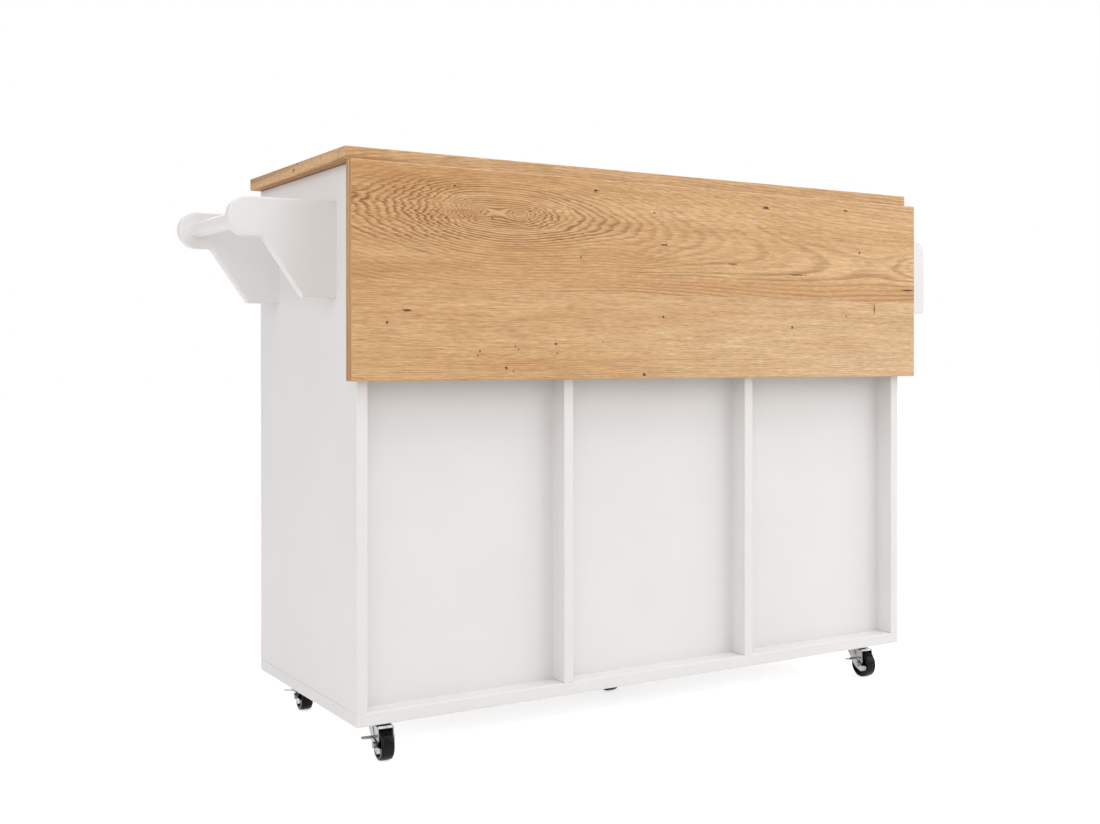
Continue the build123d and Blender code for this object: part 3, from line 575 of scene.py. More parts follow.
def eye_group():
    """A hill in the growth-ring field, which shows as an eye in the figure."""
    inputs = [
        ("Along", 0.0), ("Across", 0.0), ("Eye along", 0.0), ("Eye across", 0.0),
        ("Half length", 0.1), ("Half width", 0.05), ("Rings", 1.0),
    ]
    tree, w, entry, leave = new_group("oak eye", inputs, [("Rings", float)])
    square = w.ellipse(entry, "Eye along", "Eye across")
    w.plug(w.math("DIVIDE", entry["Rings"], w.math("ADD", 1.0, square)), leave["Rings"])
    return tree


def pin_knot_group():
    """One small dark knot or check, added to the ones before it."""
    inputs = [
        ("Along", 0.0), ("Across", 0.0), ("Knot along", 0.0), ("Knot across", 0.0),
        ("Half length", 0.003), ("Half width", 0.002), ("Mask", 0.0),
    ]
    tree, w, entry, leave = new_group("oak pin knot", inputs, [("Mask", float)])
    square = w.ellipse(entry, "Knot along", "Knot across")
    ragged = w.grain(entry["Along"], entry["Across"], *GRAIN["ragged"])
    square = w.times(square, w.more(ragged, *KNOT_RAGGED))
    spot = w.inverse(w.fade(square, *KNOT_FADE))
    w.plug(w.math("MAXIMUM", spot, entry["Mask"]), leave["Mask"])
    return tree


def warp_group():
    """Shifts a place on the board the way the fibres wander."""
    inputs = [("Along", 0.0), ("Across", 0.0), ("Flame", 0.03), ("Sway", 0.012)]
    tree, w, entry, leave = new_group("oak warp", inputs, [("Along", float), ("Across", float)])
    run, side = entry["Along"], entry["Across"]
    flame = w.math("SUBTRACT", w.grain(run, side, *GRAIN["flame"]), 0.5)
    shift = w.swing(w.grain(run, side, *GRAIN["fray"]), FRAY_SHARE, flame)
    w.plug(w.more(shift, entry["Flame"], run), leave["Along"])
    w.plug(w.swing(w.grain(run, side, *GRAIN["sway"]), entry["Sway"], side), leave["Across"])
    return tree


def oak_surface_group():
    """Colour, roughness and height of oak from its growth-ring field."""
    inputs = [
        ("Along", 0.0), ("Across", 0.0), ("Rings", 0.0), ("Contrast", 0.5), ("Tone", 0.5),
        ("Plank", 0.0), ("Seam", 0.0), ("Red", 0.0), ("Knots", 0.0),
        ("Light", (1.0, 1.0, 1.0, 1.0)), ("Middle", (0.5, 0.5, 0.5, 1.0)),
        ("Dark", (0.1, 0.1, 0.1, 1.0)), ("Knot", (0.0, 0.0, 0.0, 1.0)),
    ]
    outputs = [("Colour", tuple), ("Roughness", float), ("Height", float)]
    tree, w, entry, leave = new_group("oak surface", inputs, outputs)
    run, side = (
        w.more(entry["Plank"], step, entry[place])
        for step, place in zip(PLANK_STEP, ("Along", "Across"))
    )
    layers = ("patch", "band", "cloud", "streak", "fibre", "pore")
    patch, band, cloud, streak, fibre, pore = (w.grain(run, side, *GRAIN[layer]) for layer in layers)

    ring = w.math("FRACT", entry["Rings"])
    line = w.times(w.fade(ring, *RING_RISE), w.inverse(w.fade(ring, *RING_FALL)))
    index = w.math("FLOOR", entry["Rings"])
    year = w.noise(w.point(w.times(index, YEAR_STEP), 0.5, 0.5), 1.0, 0.0)
    line = w.times(line, w.lerp(w.fade(year, *YEAR_FADE), YEAR_LEAST, 1.0))
    line = w.times(line, w.lerp(w.fade(patch, *PATCH_FADE), PATCH_LEAST, 1.0))
    line = w.times(line, entry["Contrast"])
    dash = w.times(line, w.lerp(w.fade(streak, *DASH_FADE), 1.0, DASH_LEAST), clamp=True)
    pores = w.times(w.fade(pore, *PORE_FADE), w.lerp(line, PORE_LEAST, 1.0))

    tone = w.swing(band, BAND_TONE, entry["Tone"])
    tone = w.swing(cloud, CLOUD_TONE, tone, clamp=True)
    wood = w.blend(tone, entry["Middle"], entry["Light"])
    shade = w.swing(fibre, FIBRE_SHADE, w.swing(streak, STREAK_SHADE, 1.0))
    warm = w.more(w.math("SUBTRACT", shade, 1.0), SHADE_WARMTH, 1.0)
    between = w.times(w.math("ADD", shade, warm), 0.5)
    grey = w.node("ShaderNodeCombineColor")
    for value, socket in zip((shade, between, warm), grey.inputs):
        w.plug(value, socket)
    wood = w.blend(1.0, wood, grey.outputs[0], "MULTIPLY")
    redder = w.blend(1.0, wood, RED_WOOD, "MULTIPLY")
    wood = w.blend(w.times(entry["Red"], w.fade(streak, *RED_FADE)), wood, redder)
    wood = w.blend(dash, wood, entry["Dark"])
    wood = w.blend(w.times(pores, PORE_DARK), wood, entry["Dark"])
    wood = w.blend(w.times(entry["Seam"], SEAM_DARK), wood, entry["Dark"])
    wood = w.blend(w.times(entry["Knots"], KNOT_DARK), wood, entry["Knot"])
    w.plug(wood, leave["Colour"])

    rough = w.swing(streak, STREAK_ROUGHNESS, OAK_ROUGHNESS)
    w.plug(w.more(pores, PORE_ROUGHNESS, rough), leave["Roughness"])
    height = w.more(fibre, FIBRE_HEIGHT, w.times(pores, PORE_HEIGHT))
    height = w.more(dash, DASH_HEIGHT, height)
    w.plug(w.more(entry["Knots"], KNOT_HEIGHT, height), leave["Height"])
    return tree


class OakBoard:
    """Places on one oak board and the shader groups that draw its figure."""

    def __init__(self, name, trees, place):
        self.material, self.w, self.shader = new_material(name)
        self.trees = trees
        self.axes = self.w.axes()
        self.end = end_mask(self.w, self.axes)
        self.face = self.w.inverse(self.end)
        self.run, self.side = place(self.w, self.axes, self.end)

    def warp(self, **amounts):
        """The place on the board, shifted the way the fibres wander."""
        made = self.w.group(self.trees["warp"], along=self.run, across=self.side, **amounts)
        return made["Along"], made["Across"]

    def eyes(self, run, side, rings, eyes):
        """Add the hills of some eyes to a ring field."""
        for eye_along, eye_across, half_length, half_width, count in eyes:
            hill = self.w.group(
                self.trees["eye"], along=run, across=side, eye_along=eye_along, eye_across=eye_across,
                half_length=half_length, half_width=half_width, rings=count,
            )
            rings = self.w.math("ADD", rings, hill["Rings"])
        return rings

    def knots(self, knots, where):
        """Mask of the pin knots that lie where another mask is 1."""
        mask = 0.0
        for knot_along, knot_across, half_length, half_width in knots:
            mask = self.w.group(
                self.trees["knot"], along=self.run, across=self.side, knot_along=knot_along,
                knot_across=knot_across, half_length=half_length, half_width=half_width, mask=mask,
            )["Mask"]
        return self.w.times(mask, where)

    def planks(self, seams):
        """Number of the plank at a place, and a mask of the glue lines."""
        plank = 0.0
        line = 0.0
        for seam in seams:
            plank = self.w.math("ADD", plank, self.w.math("GREATER_THAN", self.side, seam))
            line = self.w.math("MAXIMUM", line, self.w.near(self.side, seam, *SEAM_FADE))
        return plank, line

    def finish(self, rings, contrast, pale, **fields):
        """Colour the board from its fields."""
        w = self.w
        oak = bpy.context.scene.island_oak
        surface = w.group(
            self.trees["surface"], along=self.run, across=self.side,
            rings=w.times(rings, w.lerp(self.end, 1.0, END_RINGS)),
            contrast=w.lerp(self.end, contrast, END_CONTRAST),
            light=w.blend(pale, solid(oak.light), solid(oak.pale)),
            middle=solid(oak.middle), dark=solid(oak.dark), knot=solid(oak.knot), **fields,
        )
        w.plug(surface["Colour"], self.shader["Base Color"])
        w.plug(surface["Roughness"], self.shader["Roughness"])
        bump(w, surface["Height"], *OAK_BUMP, self.shader["Normal"])
        self.shader["Specular IOR Level"].default_value = OAK_SPECULAR
        return self.material


def end_mask(w, axes):
    """1 on the two end faces of a full-length board."""
    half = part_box("worktop")[1][0]
    return w.math("GREATER_THAN", w.math("ABSOLUTE", axes["X"]), half - SKIN)


def leaf_place(w, axes, end):
    """Along and down the leaf's outer face and round its edges; up and across on its ends."""
    right, face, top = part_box("drop_leaf")[1]
    along = w.math("SUBTRACT", right, axes["X"])
    down = w.math("SUBTRACT", top + face, w.math("ADD", axes["Y"], axes["Z"]))
    return w.lerp(end, along, axes["Z"]), w.lerp(end, down, axes["Y"])


def worktop_place(w, axes, end):
    """Along and over the worktop from its back edge; across and up on its ends."""
    right, edge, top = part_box("worktop")[1]
    along = w.math("SUBTRACT", right, axes["X"])
    over = w.math("SUBTRACT", top + edge, w.math("ADD", axes["Y"], axes["Z"]))
    return w.lerp(end, along, axes["Y"]), w.lerp(end, over, axes["Z"])


def focus_distance(w, run, side, focus):
    """Distance from one focus of a cathedral figure, drawn out more towards its far end."""
    ahead = w.math("SUBTRACT", run, focus)
    spread = w.more(w.math("ABSOLUTE", ahead), FOCUS_SPREAD, 1.0)
    pull = w.lerp(w.math("GREATER_THAN", ahead, 0.0), *FOCUS_PULL)
    reach = w.math("DIVIDE", w.times(ahead, pull), spread)
    return w.math("SQRT", w.math("ADD", w.times(reach, reach), w.times(side, side)))


def cathedral(w, run, side, foci, middle, slenderness, rings):
    """Ring field round two foci that grows together into one long figure, closest at the heart."""
    offset = w.math("DIVIDE", w.math("SUBTRACT", side, middle), slenderness)
    first, second = (focus_distance(w, run, offset, focus) for focus in foci)
    return w.times(w.math("POWER", w.times(first, second), RING_POWER), rings)


def leaf_oak(trees):
    """Two planks: a wide one with a long eye above a paler, plainer one."""
    board = OakBoard("oak leaf", trees, leaf_place)
    w = board.w
    plank, seam = board.planks((LEAF_SEAM,))
    run, side = board.warp(**LEAF_WARP)
    middle = w.more(w.fade(run, *LEAF_SINK_REACH), LEAF_SINK, LEAF_EYE_LEVEL)
    upper = cathedral(w, run, side, LEAF_FOCI, middle, **LEAF_FIGURE)
    upper = board.eyes(run, side, upper, LEAF_EYES)
    lower = board.eyes(run, side, w.times(side, LEAF_LOWER_RINGS), LEAF_LOWER_EYES)

    near_eye = w.fade(board.eyes(board.run, board.side, 0.0, (LEAF_EYE_AREA,)), *LEAF_EYE_FADE)
    near_seam = w.fade(board.side, *LEAF_SEAM_AREA["side"])
    near_seam = w.times(near_seam, w.fade(board.run, *LEAF_SEAM_AREA["run"]))
    # Painted highlight: the wood is plain and lighter along the leaf's upper edge
    edge = w.times(board.face, w.inverse(w.fade(board.side, *LEAF_EDGE_HIGHLIGHT)))
    contrast = w.more(near_eye, LEAF_CONTRAST["eye"], LEAF_CONTRAST["plain"])
    contrast = w.more(near_seam, LEAF_CONTRAST["seam"], contrast)
    contrast = w.lerp(edge, w.lerp(plank, contrast, LEAF_CONTRAST["lower"]), 0.0)

    # Painted light: each plank's tone rises along the leaf away from the towel rack
    upper_tone = w.more(w.fade(board.run, *LEAF_UPPER_REACH), LEAF_UPPER_LIGHT_RISE, LEAF_TONE["upper"])
    upper_tone = w.more(near_eye, LEAF_TONE["eye"], upper_tone)
    lower_tone = w.more(w.fade(board.run, *LEAF_LOWER_REACH), LEAF_LOWER_LIGHT_RISE, LEAF_TONE["lower"])
    tone = w.lerp(plank, upper_tone, lower_tone)
    tone = w.more(board.end, LEAF_TONE["end"], tone)
    # Painted highlight on the leaf's upper edge
    tone = w.more(edge, LEAF_TONE["edge"], tone)

    red = w.near(board.side, LEAF_SEAM - LEAF_RED["above_seam"], *LEAF_RED["width"])
    red = w.times(red, w.fade(board.run, *LEAF_RED["run"]))
    red = w.times(red, w.inverse(plank))
    return board.finish(
        rings=w.lerp(plank, upper, lower), contrast=contrast, tone=tone, plank=plank, seam=seam,
        red=w.more(board.end, LEAF_RED["end"], red),
        knots=board.knots(LEAF_KNOTS, board.face),
        # Painted light: the lower plank turns paler along the leaf away from the towel rack
        pale=w.times(plank, w.fade(board.run, *LEAF_PALE_LIGHT_REACH)),
    )


def edge_dark_bands(w, axes):
    """Dark bands along the worktop's back edge near its right-hand end."""
    back = w.math("GREATER_THAN", axes["Y"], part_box("worktop")[1][1] - SKIN)
    mask = 0.0
    for level, half, depth in WORKTOP_EDGE_BANDS:
        mask = w.more(w.near(axes["Z"], level, EDGE_BAND_CORE * half, half), depth, mask)
    return w.times(mask, w.times(back, w.fade(axes["X"], *EDGE_BAND_START)))


def worktop_oak(trees):
    """Three planks with a long eye each."""
    board = OakBoard("oak worktop", trees, worktop_place)
    w = board.w
    plank, seam = board.planks(WORKTOP_SEAMS)
    run, side = board.warp(**WORKTOP_WARP)
    rings = 0.0
    for number, (foci, level) in enumerate(WORKTOP_FOCI):
        figure = cathedral(w, run, side, foci, level, **WORKTOP_FIGURE)
        here = w.math("COMPARE", plank, float(number), 0.5)
        rings = w.more(figure, here, rings)

    # Painted shade: the worktop's underside is made darker, redder and of higher contrast than its
    # faces
    under = w.math("LESS_THAN", board.axes["Z"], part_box("worktop")[0][2] + SKIN)
    wave = w.math("SINE", w.times(plank, WORKTOP_TONE["plank_step"]))
    tone = w.more(wave, WORKTOP_TONE["plank"], WORKTOP_TONE["plain"])
    tone = w.more(board.end, WORKTOP_TONE["end"], tone)
    tone = w.more(under, WORKTOP_TONE["under"], tone)
    tone = w.math("SUBTRACT", tone, edge_dark_bands(w, board.axes))

    face_knots = board.knots(WORKTOP_KNOTS, board.face)
    end_knots = board.knots(WORKTOP_END_KNOTS, board.end)
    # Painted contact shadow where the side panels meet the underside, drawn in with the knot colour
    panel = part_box("side_panel_right")[1][0]
    contact_shadow = w.times(under, w.near(w.math("ABSOLUTE", board.axes["X"]), panel, *CONTACT_SHADOW_FADE))
    # This mask of dark marks holds the real knots and the painted contact shadow
    dark = w.math("MAXIMUM", face_knots, end_knots)
    dark = w.math("MAXIMUM", dark, w.times(contact_shadow, CONTACT_SHADOW_DARK))
    return board.finish(
        rings=rings, tone=tone, plank=plank, seam=seam, knots=dark,
        contrast=w.more(under, WORKTOP_CONTRAST["under"], WORKTOP_CONTRAST["plain"]),
        red=w.math("MAXIMUM", under, w.times(board.end, WORKTOP_END_RED)),
        pale=w.times(board.face, WORKTOP_PALE),
    )


class IslandOakBoards(bpy.types.Operator):
    """Give the worktop and the drop leaf their oak figure"""

    bl_idname = "island.oak_boards"
    bl_label = "Oak Boards"

    def execute(self, context):
        trees = {
            "eye": eye_group(), "knot": pin_knot_group(),
            "warp": warp_group(), "surface": oak_surface_group(),
        }
        paint_nodes(leaf_oak(trees), ["drop_leaf"])
        paint_nodes(worktop_oak(trees), ["worktop"])
        return {"FINISHED"}


# White boards


# Noise of painted and moulded surfaces: cycles per metre and detail of the cloud, detail of the speckle
CLOUD = (7.0, 2.0)
FINE_DETAIL = 2.0

# Satin paint: speckles per metre, where the cloud turns, shade of its dim places, changes in roughness
PAINT_FINE = 700.0
PAINT_CLOUD = (0.25, 0.75)
PAINT_DIM = 0.975
PAINT_UNEVEN = 0.12
PAINT_BUMP = (0.0001, 0.12)


def speckle_group():
    """Fine uneven texture of a sprayed or moulded surface."""
    inputs = [("Place", ""), ("Fine", 900.0)]
    tree, w, entry, leave = new_group("fine speckle", inputs, [("Value", float), ("Cloud", float)])
    w.plug(w.noise(entry["Place"], entry["Fine"], FINE_DETAIL), leave["Value"])
    w.plug(w.noise(entry["Place"], *CLOUD), leave["Cloud"])
    return tree


class IslandWhiteBoards(bpy.types.Operator):
    """Paint the carcass, the fronts and the racks white"""

    bl_idname = "island.white_boards"
    bl_label = "White Boards"

    def execute(self, context):
        paint = context.scene.island_paint
        material, w, shader = new_material("white paint")
        texture = w.group(speckle_group(), place=w.place(), fine=PAINT_FINE)
        dim = [PAINT_DIM * channel for channel in paint.white]
        cloud = w.fade(texture["Cloud"], *PAINT_CLOUD)
        w.plug(w.blend(cloud, solid(dim), solid(paint.white)), shader["Base Color"])
        w.plug(w.swing(texture["Value"], PAINT_UNEVEN, paint.roughness), shader["Roughness"])
        bump(w, texture["Value"], *PAINT_BUMP, shader["Normal"])
        paint_slot(material, "white_board")
        return {"FINISHED"}


# Metal and plastic


# Plating: scratches in cycles per metre and their detail, the cloud, changes in roughness and tone
SCRATCH_SCALE = (60.0, 60.0, 1400.0)
SCRATCH_DETAIL = 2.0
PLATE_CLOUD = (60.0, 3.0)
PLATE_UNEVEN = 0.22
PLATE_TONE = (0.3, 0.7)

# Plated metals by slot: name, setting, roughness, depth of the dull places, share of scratches
METALS = {
    "zinc_steel": ("zinc plate", "zinc", 0.38, 0.15, 0.4),
    "bright_steel": ("bright plate", "bright", 0.18, 0.40, 0.08),
    "brushed_nickel": ("brushed nickel", "nickel", 0.32, 0.12, 0.6),
}

# Black surfaces by slot: name, setting, roughness, gloss
BLACKS = {
    "black_steel": ("black plate", "black", 0.34, 0.5),
    "black_wheel": ("black wheel", "wheel", 0.12, 0.12),
}
BLACK_FINE = 400.0
BLACK_PALE = 1.8
BLACK_UNEVEN = (0.75, 1.25)
BLACK_BUMP = (0.00002, 0.06)

PLASTIC_FINE = 1200.0
PLASTIC_COLOURS = ((0.74, 0.74, 0.73, 1.0), (0.80, 0.80, 0.79, 1.0))
PLASTIC_ROUGHNESS = (0.42, 0.58)


def brushed_group():
    """Uneven plating with a share of faint scratches along one axis."""
    inputs = [("Place", ""), ("Roughness", 0.3), ("Scratches", 0.6)]
    tree, w, entry, leave = new_group("plated metal", inputs, [("Roughness", float), ("Tone", float)])
    stretch = w.node("ShaderNodeMapping")
    stretch.inputs["Scale"].default_value = SCRATCH_SCALE
    w.plug(entry["Place"], stretch.inputs["Vector"])
    scratch = w.noise(stretch.outputs[0], 1.0, SCRATCH_DETAIL)
    mixed = w.lerp(entry["Scratches"], w.noise(entry["Place"], *PLATE_CLOUD), scratch)
    w.plug(w.swing(mixed, PLATE_UNEVEN, entry["Roughness"], clamp=True), leave["Roughness"])
    w.plug(w.fade(mixed, *PLATE_TONE), leave["Tone"])
    return tree


def metal_material(name, tree, colour, roughness, depth, scratches):
    """Plated or brushed metal of one colour, darker by depth in the dull places."""
    material, w, shader = new_material(name)
    plate = w.group(tree, place=w.place(), roughness=roughness, scratches=scratches)
    dim = [(1.0 - depth) * channel for channel in colour]
    w.plug(w.blend(plate["Tone"], solid(dim), solid(colour)), shader["Base Color"])
    w.plug(plate["Roughness"], shader["Roughness"])
    shader["Metallic"].default_value = 1.0
    return material


def black_material(name, tree, colour, roughness, gloss):
    """Black coating or moulding, a little uneven."""
    material, w, shader = new_material(name)
    texture = w.group(tree, place=w.place(), fine=BLACK_FINE)
    pale = [BLACK_PALE * channel for channel in colour]
    w.plug(w.blend(texture["Cloud"], solid(colour), solid(pale)), shader["Base Color"])
    low, high = (share * roughness for share in BLACK_UNEVEN)
    w.plug(w.lerp(texture["Cloud"], low, high), shader["Roughness"])
    bump(w, texture["Value"], *BLACK_BUMP, shader["Normal"])
    shader["Specular IOR Level"].default_value = gloss
    return material


def plastic_material(name, tree):
    """White moulded plastic."""
    material, w, shader = new_material(name)
    texture = w.group(tree, place=w.place(), fine=PLASTIC_FINE)
    w.plug(w.blend(texture["Value"], *PLASTIC_COLOURS), shader["Base Color"])
    w.plug(w.lerp(texture["Value"], *PLASTIC_ROUGHNESS), shader["Roughness"])
    return material


class IslandFittings(bpy.types.Operator):
    """Finish the metal fittings, the wheels and the catches"""

    bl_idname = "island.fittings"
    bl_label = "Fittings"

    def execute(self, context):
        settings = context.scene.island_metal
        plating = brushed_group()
        speckle = bpy.data.node_groups["fine speckle"]
        for slot, (name, colour, *finish) in METALS.items():
            paint_slot(metal_material(name, plating, getattr(settings, colour), *finish), slot)
        for slot, (name, colour, *finish) in BLACKS.items():
            paint_slot(black_material(name, speckle, getattr(settings, colour), *finish), slot)
        paint_slot(plastic_material("white plastic", speckle), "white_plastic")
        return {"FINISHED"}


# Wheels


WHEEL_SEGMENTS = 128
EDGE_STEPS = 5
DISH_STEPS = 2
ROUND_PROFILE = 0.5
SMOOTH_ANGLE = math.radians(32)

# Places closer than this count as one, in metres
CLOSE = 1e-5

# A face is on a side or on the tread by its normal's share along the axle and its reach from it
SIDE_LEAN = 0.9
TREAD_LEAN = 0.2
TREAD_REACH = 0.9

# Rings of the tread that swell: place across its flat part and share of the crown
CROWN_RINGS = ((-0.5, 0.75), (0.0, 1.0), (0.5, 0.75))


def close(first, second):
    """Whether two lengths are the same."""
    return abs(first - second) < CLOSE


def radius(place):
    """Distance from the X axis."""
    return math.hypot(place.y, place.z)


def select_parts(kind, parts, wanted):
    """In edit mode, select the faces or edges of a mesh for which wanted(part) holds."""
    bpy.ops.mesh.select_mode(type=kind)
    bpy.ops.mesh.select_all(action="DESELECT")
    bpy.ops.object.mode_set(mode="OBJECT")
    for part in parts:
        part.select = wanted(part)
    bpy.ops.object.mode_set(mode="EDIT")


def select_faces(mesh, wanted):
    """Select the faces for which wanted(normal, centre) holds."""
    select_parts("FACE", mesh.polygons, lambda face: wanted(face.normal, face.center))


def select_rings(mesh, wanted):
    """Select the edges round X whose two ends both satisfy wanted(place)."""

    def ring(edge):
        first, second = (mesh.vertices[index].co for index in edge.vertices)
        return close(first.x, second.x) and wanted(first) and wanted(second)

    select_parts("EDGE", mesh.edges, ring)


class IslandWheels(bpy.types.Operator):
    """Model one moulded caster wheel and put a copy on each caster"""

    bl_idname = "island.wheels"
    bl_label = "Caster Wheels"

    def hollow(self, sizes, shoulder):
        """Turn the selected sides into dishes with a hub, and open the bore between them."""
        hub_wall = sizes.dish_wall / 2
        steps = (
            (shoulder - sizes.dish_radius, 0.0),
            (sizes.dish_wall, -sizes.dish_depth),
            (sizes.dish_radius - sizes.dish_wall - sizes.hub_radius, 0.0),
            (hub_wall, sizes.dish_depth + sizes.hub_stand),
            (sizes.hub_radius - hub_wall - sizes.bore_radius, 0.0),
        )
        for thickness, depth in steps:
            bpy.ops.mesh.inset(thickness=thickness, depth=depth)
        bpy.ops.mesh.bridge_edge_loops()

    def model(self, sizes):
        """One wheel round the X axis: crowned tread, dished sides, hub and bore."""
        bpy.ops.object.select_all(action="DESELECT")
        shoulder = sizes.radius - sizes.crown
        bpy.ops.mesh.primitive_cylinder_add(
            vertices=WHEEL_SEGMENTS, radius=shoulder, depth=sizes.width,
            rotation=(0.0, math.pi / 2, 0.0),
        )
        wheel = bpy.context.active_object
        bpy.ops.object.transform_apply(location=False, rotation=True, scale=False)
        mesh = wheel.data
        half = sizes.width / 2
        bpy.ops.object.mode_set(mode="EDIT")

        select_faces(mesh, lambda normal, centre: abs(normal.x) > SIDE_LEAN and radius(centre) < CLOSE)
        self.hollow(sizes, shoulder)
        select_rings(mesh, lambda place: close(radius(place), shoulder) and close(abs(place.x), half))
        bpy.ops.mesh.bevel(offset=sizes.edge_radius, segments=EDGE_STEPS, profile=ROUND_PROFILE)
        select_rings(mesh, lambda place: close(radius(place), sizes.dish_radius))
        bpy.ops.mesh.bevel(offset=sizes.dish_wall / 2, segments=DISH_STEPS, profile=ROUND_PROFILE)

        def outer(place):
            return radius(place) > TREAD_REACH * shoulder

        flat = half - sizes.edge_radius
        crown = [(level * flat, share) for level, share in CROWN_RINGS]
        for level, _ in crown:
            select_faces(mesh, lambda normal, centre: abs(normal.x) < TREAD_LEAN and outer(centre))
            bpy.ops.mesh.bisect(plane_co=(level, 0.0, 0.0), plane_no=(1.0, 0.0, 0.0))
        for level, share in crown:
            select_rings(mesh, lambda place: close(place.x, level) and outer(place))
            grown = 1.0 + share * sizes.crown / shoulder
            bpy.ops.transform.resize(value=(1.0, grown, grown), center_override=(0.0, 0.0, 0.0))
        bpy.ops.mesh.select_all(action="SELECT")
        bpy.ops.mesh.normals_make_consistent(inside=False)
        bpy.ops.object.mode_set(mode="OBJECT")
        bpy.ops.object.shade_smooth_by_angle(angle=SMOOTH_ANGLE)
        return wheel

    def execute(self, context):
        sizes = context.scene.island_wheels
        pattern = self.model(sizes)
        for body in frame["bodies"]:
            if not body.startswith("wheel_"):
                continue
            node = "caster_" + body
            low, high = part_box(node)
            wheel = pattern.copy()
            wheel.data = pattern.data.copy()
            wheel.name = body + "_moulded"
            context.collection.objects.link(wheel)
            bpy.ops.object.select_all(action="DESELECT")
            wheel.select_set(True)
            context.view_layer.objects.active = wheel
            wheel.location = [(a + b) / 2 for a, b in zip(low, high)]
            wheel.rotation_euler = (0.0, 0.0, sizes.turn)
            bpy.ops.object.transform_apply(location=True, rotation=True, scale=False)
            wheel.data.materials.clear()
            wheel.data.materials.append(bpy.data.materials["black wheel"])
            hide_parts(node)
            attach(wheel, body)
        bpy.data.objects.remove(pattern)
        return {"FINISHED"}


# Stage


WHITE = (1.0, 1.0, 1.0, 1.0)
SENSOR_WIDTH = 36.0
VIEW_END = 60.0
FLOOR_SIZE = 40.0
FLOOR_ROUGHNESS = 0.9
FLOOR_SPECULAR = 0.1

# Lamps: name, place, target, size, setting for the power
LAMPS = (
    ("key lamp", (-2.6, 2.4, 2.2), (0.0, 0.0, 0.5), (4.0, 2.6), "key_power"),
    ("top lamp", (0.0, 1.3, 3.2), (0.0, 0.2, 0.0), (3.0, 1.6), "top_power"),
    ("corner lamp", (2.5, 2.5, 1.5), (0.3, 0.0, 0.5), (2.0, 2.0), "fill_power"),
    ("end lamp", (3.4, 0.6, 1.6), (0.3, 0.0, 0.5), (2.0, 2.0), "fill_power"),
    ("front lamp", (-1.2, -3.4, 2.4), (0.0, 0.0, 0.5), (3.0, 2.0), "front_power"),
)


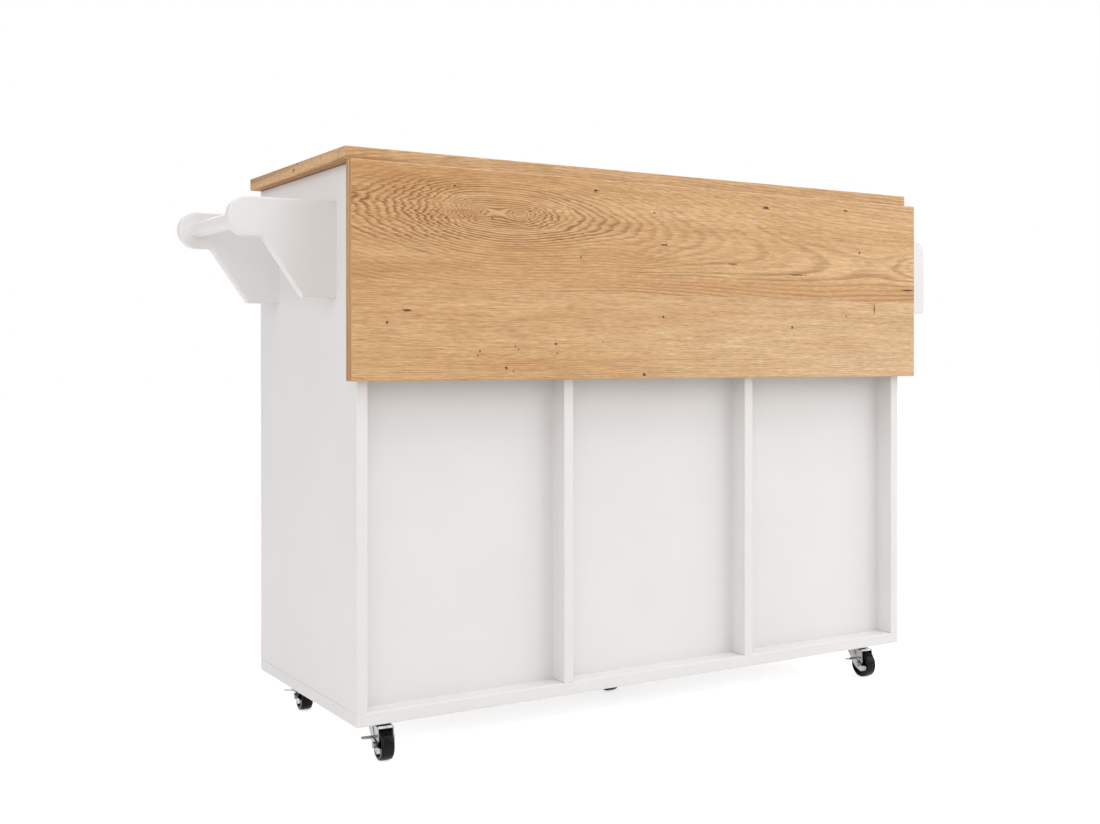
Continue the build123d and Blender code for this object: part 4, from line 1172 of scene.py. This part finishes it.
class IslandStage(bpy.types.Operator):
    """Set the camera, the lamps, the world and the floor"""

    bl_idname = "island.stage"
    bl_label = "Stage"

    def seen(self, w):
        """1 for rays that show the background: straight, mirrored or through glass."""
        path = w.node("ShaderNodeLightPath").outputs
        seen = w.math("MAXIMUM", path["Is Camera Ray"], path["Is Glossy Ray"])
        return w.math("MAXIMUM", seen, path["Is Transmission Ray"])

    def camera(self, scene, stage):
        """A level camera with its lens shifted."""
        data = bpy.data.cameras.new("photo camera")
        data.sensor_width = SENSOR_WIDTH
        data.lens = stage.lens
        data.shift_x = stage.slide
        data.shift_y = stage.rise
        data.clip_end = VIEW_END
        camera = bpy.data.objects.new("photo camera", data)
        camera.location = stage.eye
        camera.rotation_euler = (math.pi / 2, 0.0, stage.heading)
        bpy.context.collection.objects.link(camera)
        scene.camera = camera

    def world(self, scene, stage):
        """A white room that is plain white where it is seen."""
        world = bpy.data.worlds.new("studio")
        world.use_nodes = True
        scene.world = world
        w = Wiring(world.node_tree)
        sky = world.node_tree.nodes["Background"].inputs
        w.plug(w.lerp(self.seen(w), stage.sky, 1.0), sky["Strength"])
        sky["Color"].default_value = WHITE

    def lamp(self, name, place, target, size, power):
        """A soft lamp at a place, turned to a target."""
        data = bpy.data.lights.new(name, "AREA")
        data.shape = "RECTANGLE"
        data.size, data.size_y = size
        data.energy = power
        lamp = bpy.data.objects.new(name, data)
        lamp.location = place
        x, y, z = (t - p for t, p in zip(target, place))
        lamp.rotation_euler = (
            math.pi / 2 + math.atan2(z, math.hypot(x, y)), 0.0, math.atan2(y, x) - math.pi / 2,
        )
        bpy.context.collection.objects.link(lamp)

    def floor(self, stage):
        """A plain floor that is lifted to white where it is seen."""
        bpy.ops.object.select_all(action="DESELECT")
        bpy.ops.mesh.primitive_plane_add(size=FLOOR_SIZE)
        floor = bpy.context.active_object
        floor.name = "floor"
        material, w, shader = new_material("floor")
        shader["Base Color"].default_value = solid(stage.floor)
        shader["Roughness"].default_value = FLOOR_ROUGHNESS
        shader["Specular IOR Level"].default_value = FLOOR_SPECULAR
        shader["Emission Color"].default_value = WHITE
        w.plug(w.times(self.seen(w), stage.floor_glow), shader["Emission Strength"])
        floor.data.materials.append(material)

    def execute(self, context):
        scene = context.scene
        stage = scene.island_stage
        scene.view_settings.view_transform = "Standard"
        self.camera(scene, stage)
        self.world(scene, stage)
        for name, place, target, size, power in LAMPS:
            self.lamp(name, place, target, size, getattr(stage, power))
        self.floor(stage)
        return {"FINISHED"}


# Panel and registration


class IslandPanel(bpy.types.Panel):
    """Steps and settings of the island"""

    bl_idname = "VIEW3D_PT_island"
    bl_label = "Kitchen Island"
    bl_space_type = "VIEW_3D"
    bl_region_type = "UI"
    bl_category = "Island"

    def draw(self, context):
        layout = self.layout
        for step in STEPS:
            layout.operator(step.bl_idname)
        for key in SETTINGS:
            settings = getattr(context.scene, key)
            box = layout.box()
            for name in settings.__annotations__:
                box.prop(settings, name)


STEPS = (IslandOakBoards, IslandWhiteBoards, IslandFittings, IslandWheels, IslandStage)
SETTINGS = {
    "island_oak": IslandOakSettings,
    "island_paint": IslandPaintSettings,
    "island_metal": IslandMetalSettings,
    "island_wheels": IslandWheelSettings,
    "island_stage": IslandStageSettings,
}


def register():
    for settings in SETTINGS.values():
        bpy.utils.register_class(settings)
    for key, settings in SETTINGS.items():
        setattr(bpy.types.Scene, key, PointerProperty(type=settings))
    for step in STEPS:
        bpy.utils.register_class(step)
    bpy.utils.register_class(IslandPanel)


def unregister():
    bpy.utils.unregister_class(IslandPanel)
    for step in reversed(STEPS):
        bpy.utils.unregister_class(step)
    for key in reversed(SETTINGS):
        delattr(bpy.types.Scene, key)
    for settings in reversed(SETTINGS.values()):
        bpy.utils.unregister_class(settings)


def main():
    register()
    bpy.ops.island.oak_boards()
    bpy.ops.island.white_boards()
    bpy.ops.island.fittings()
    bpy.ops.island.wheels()
    bpy.ops.island.stage()


if __name__ == "__main__":
    main()
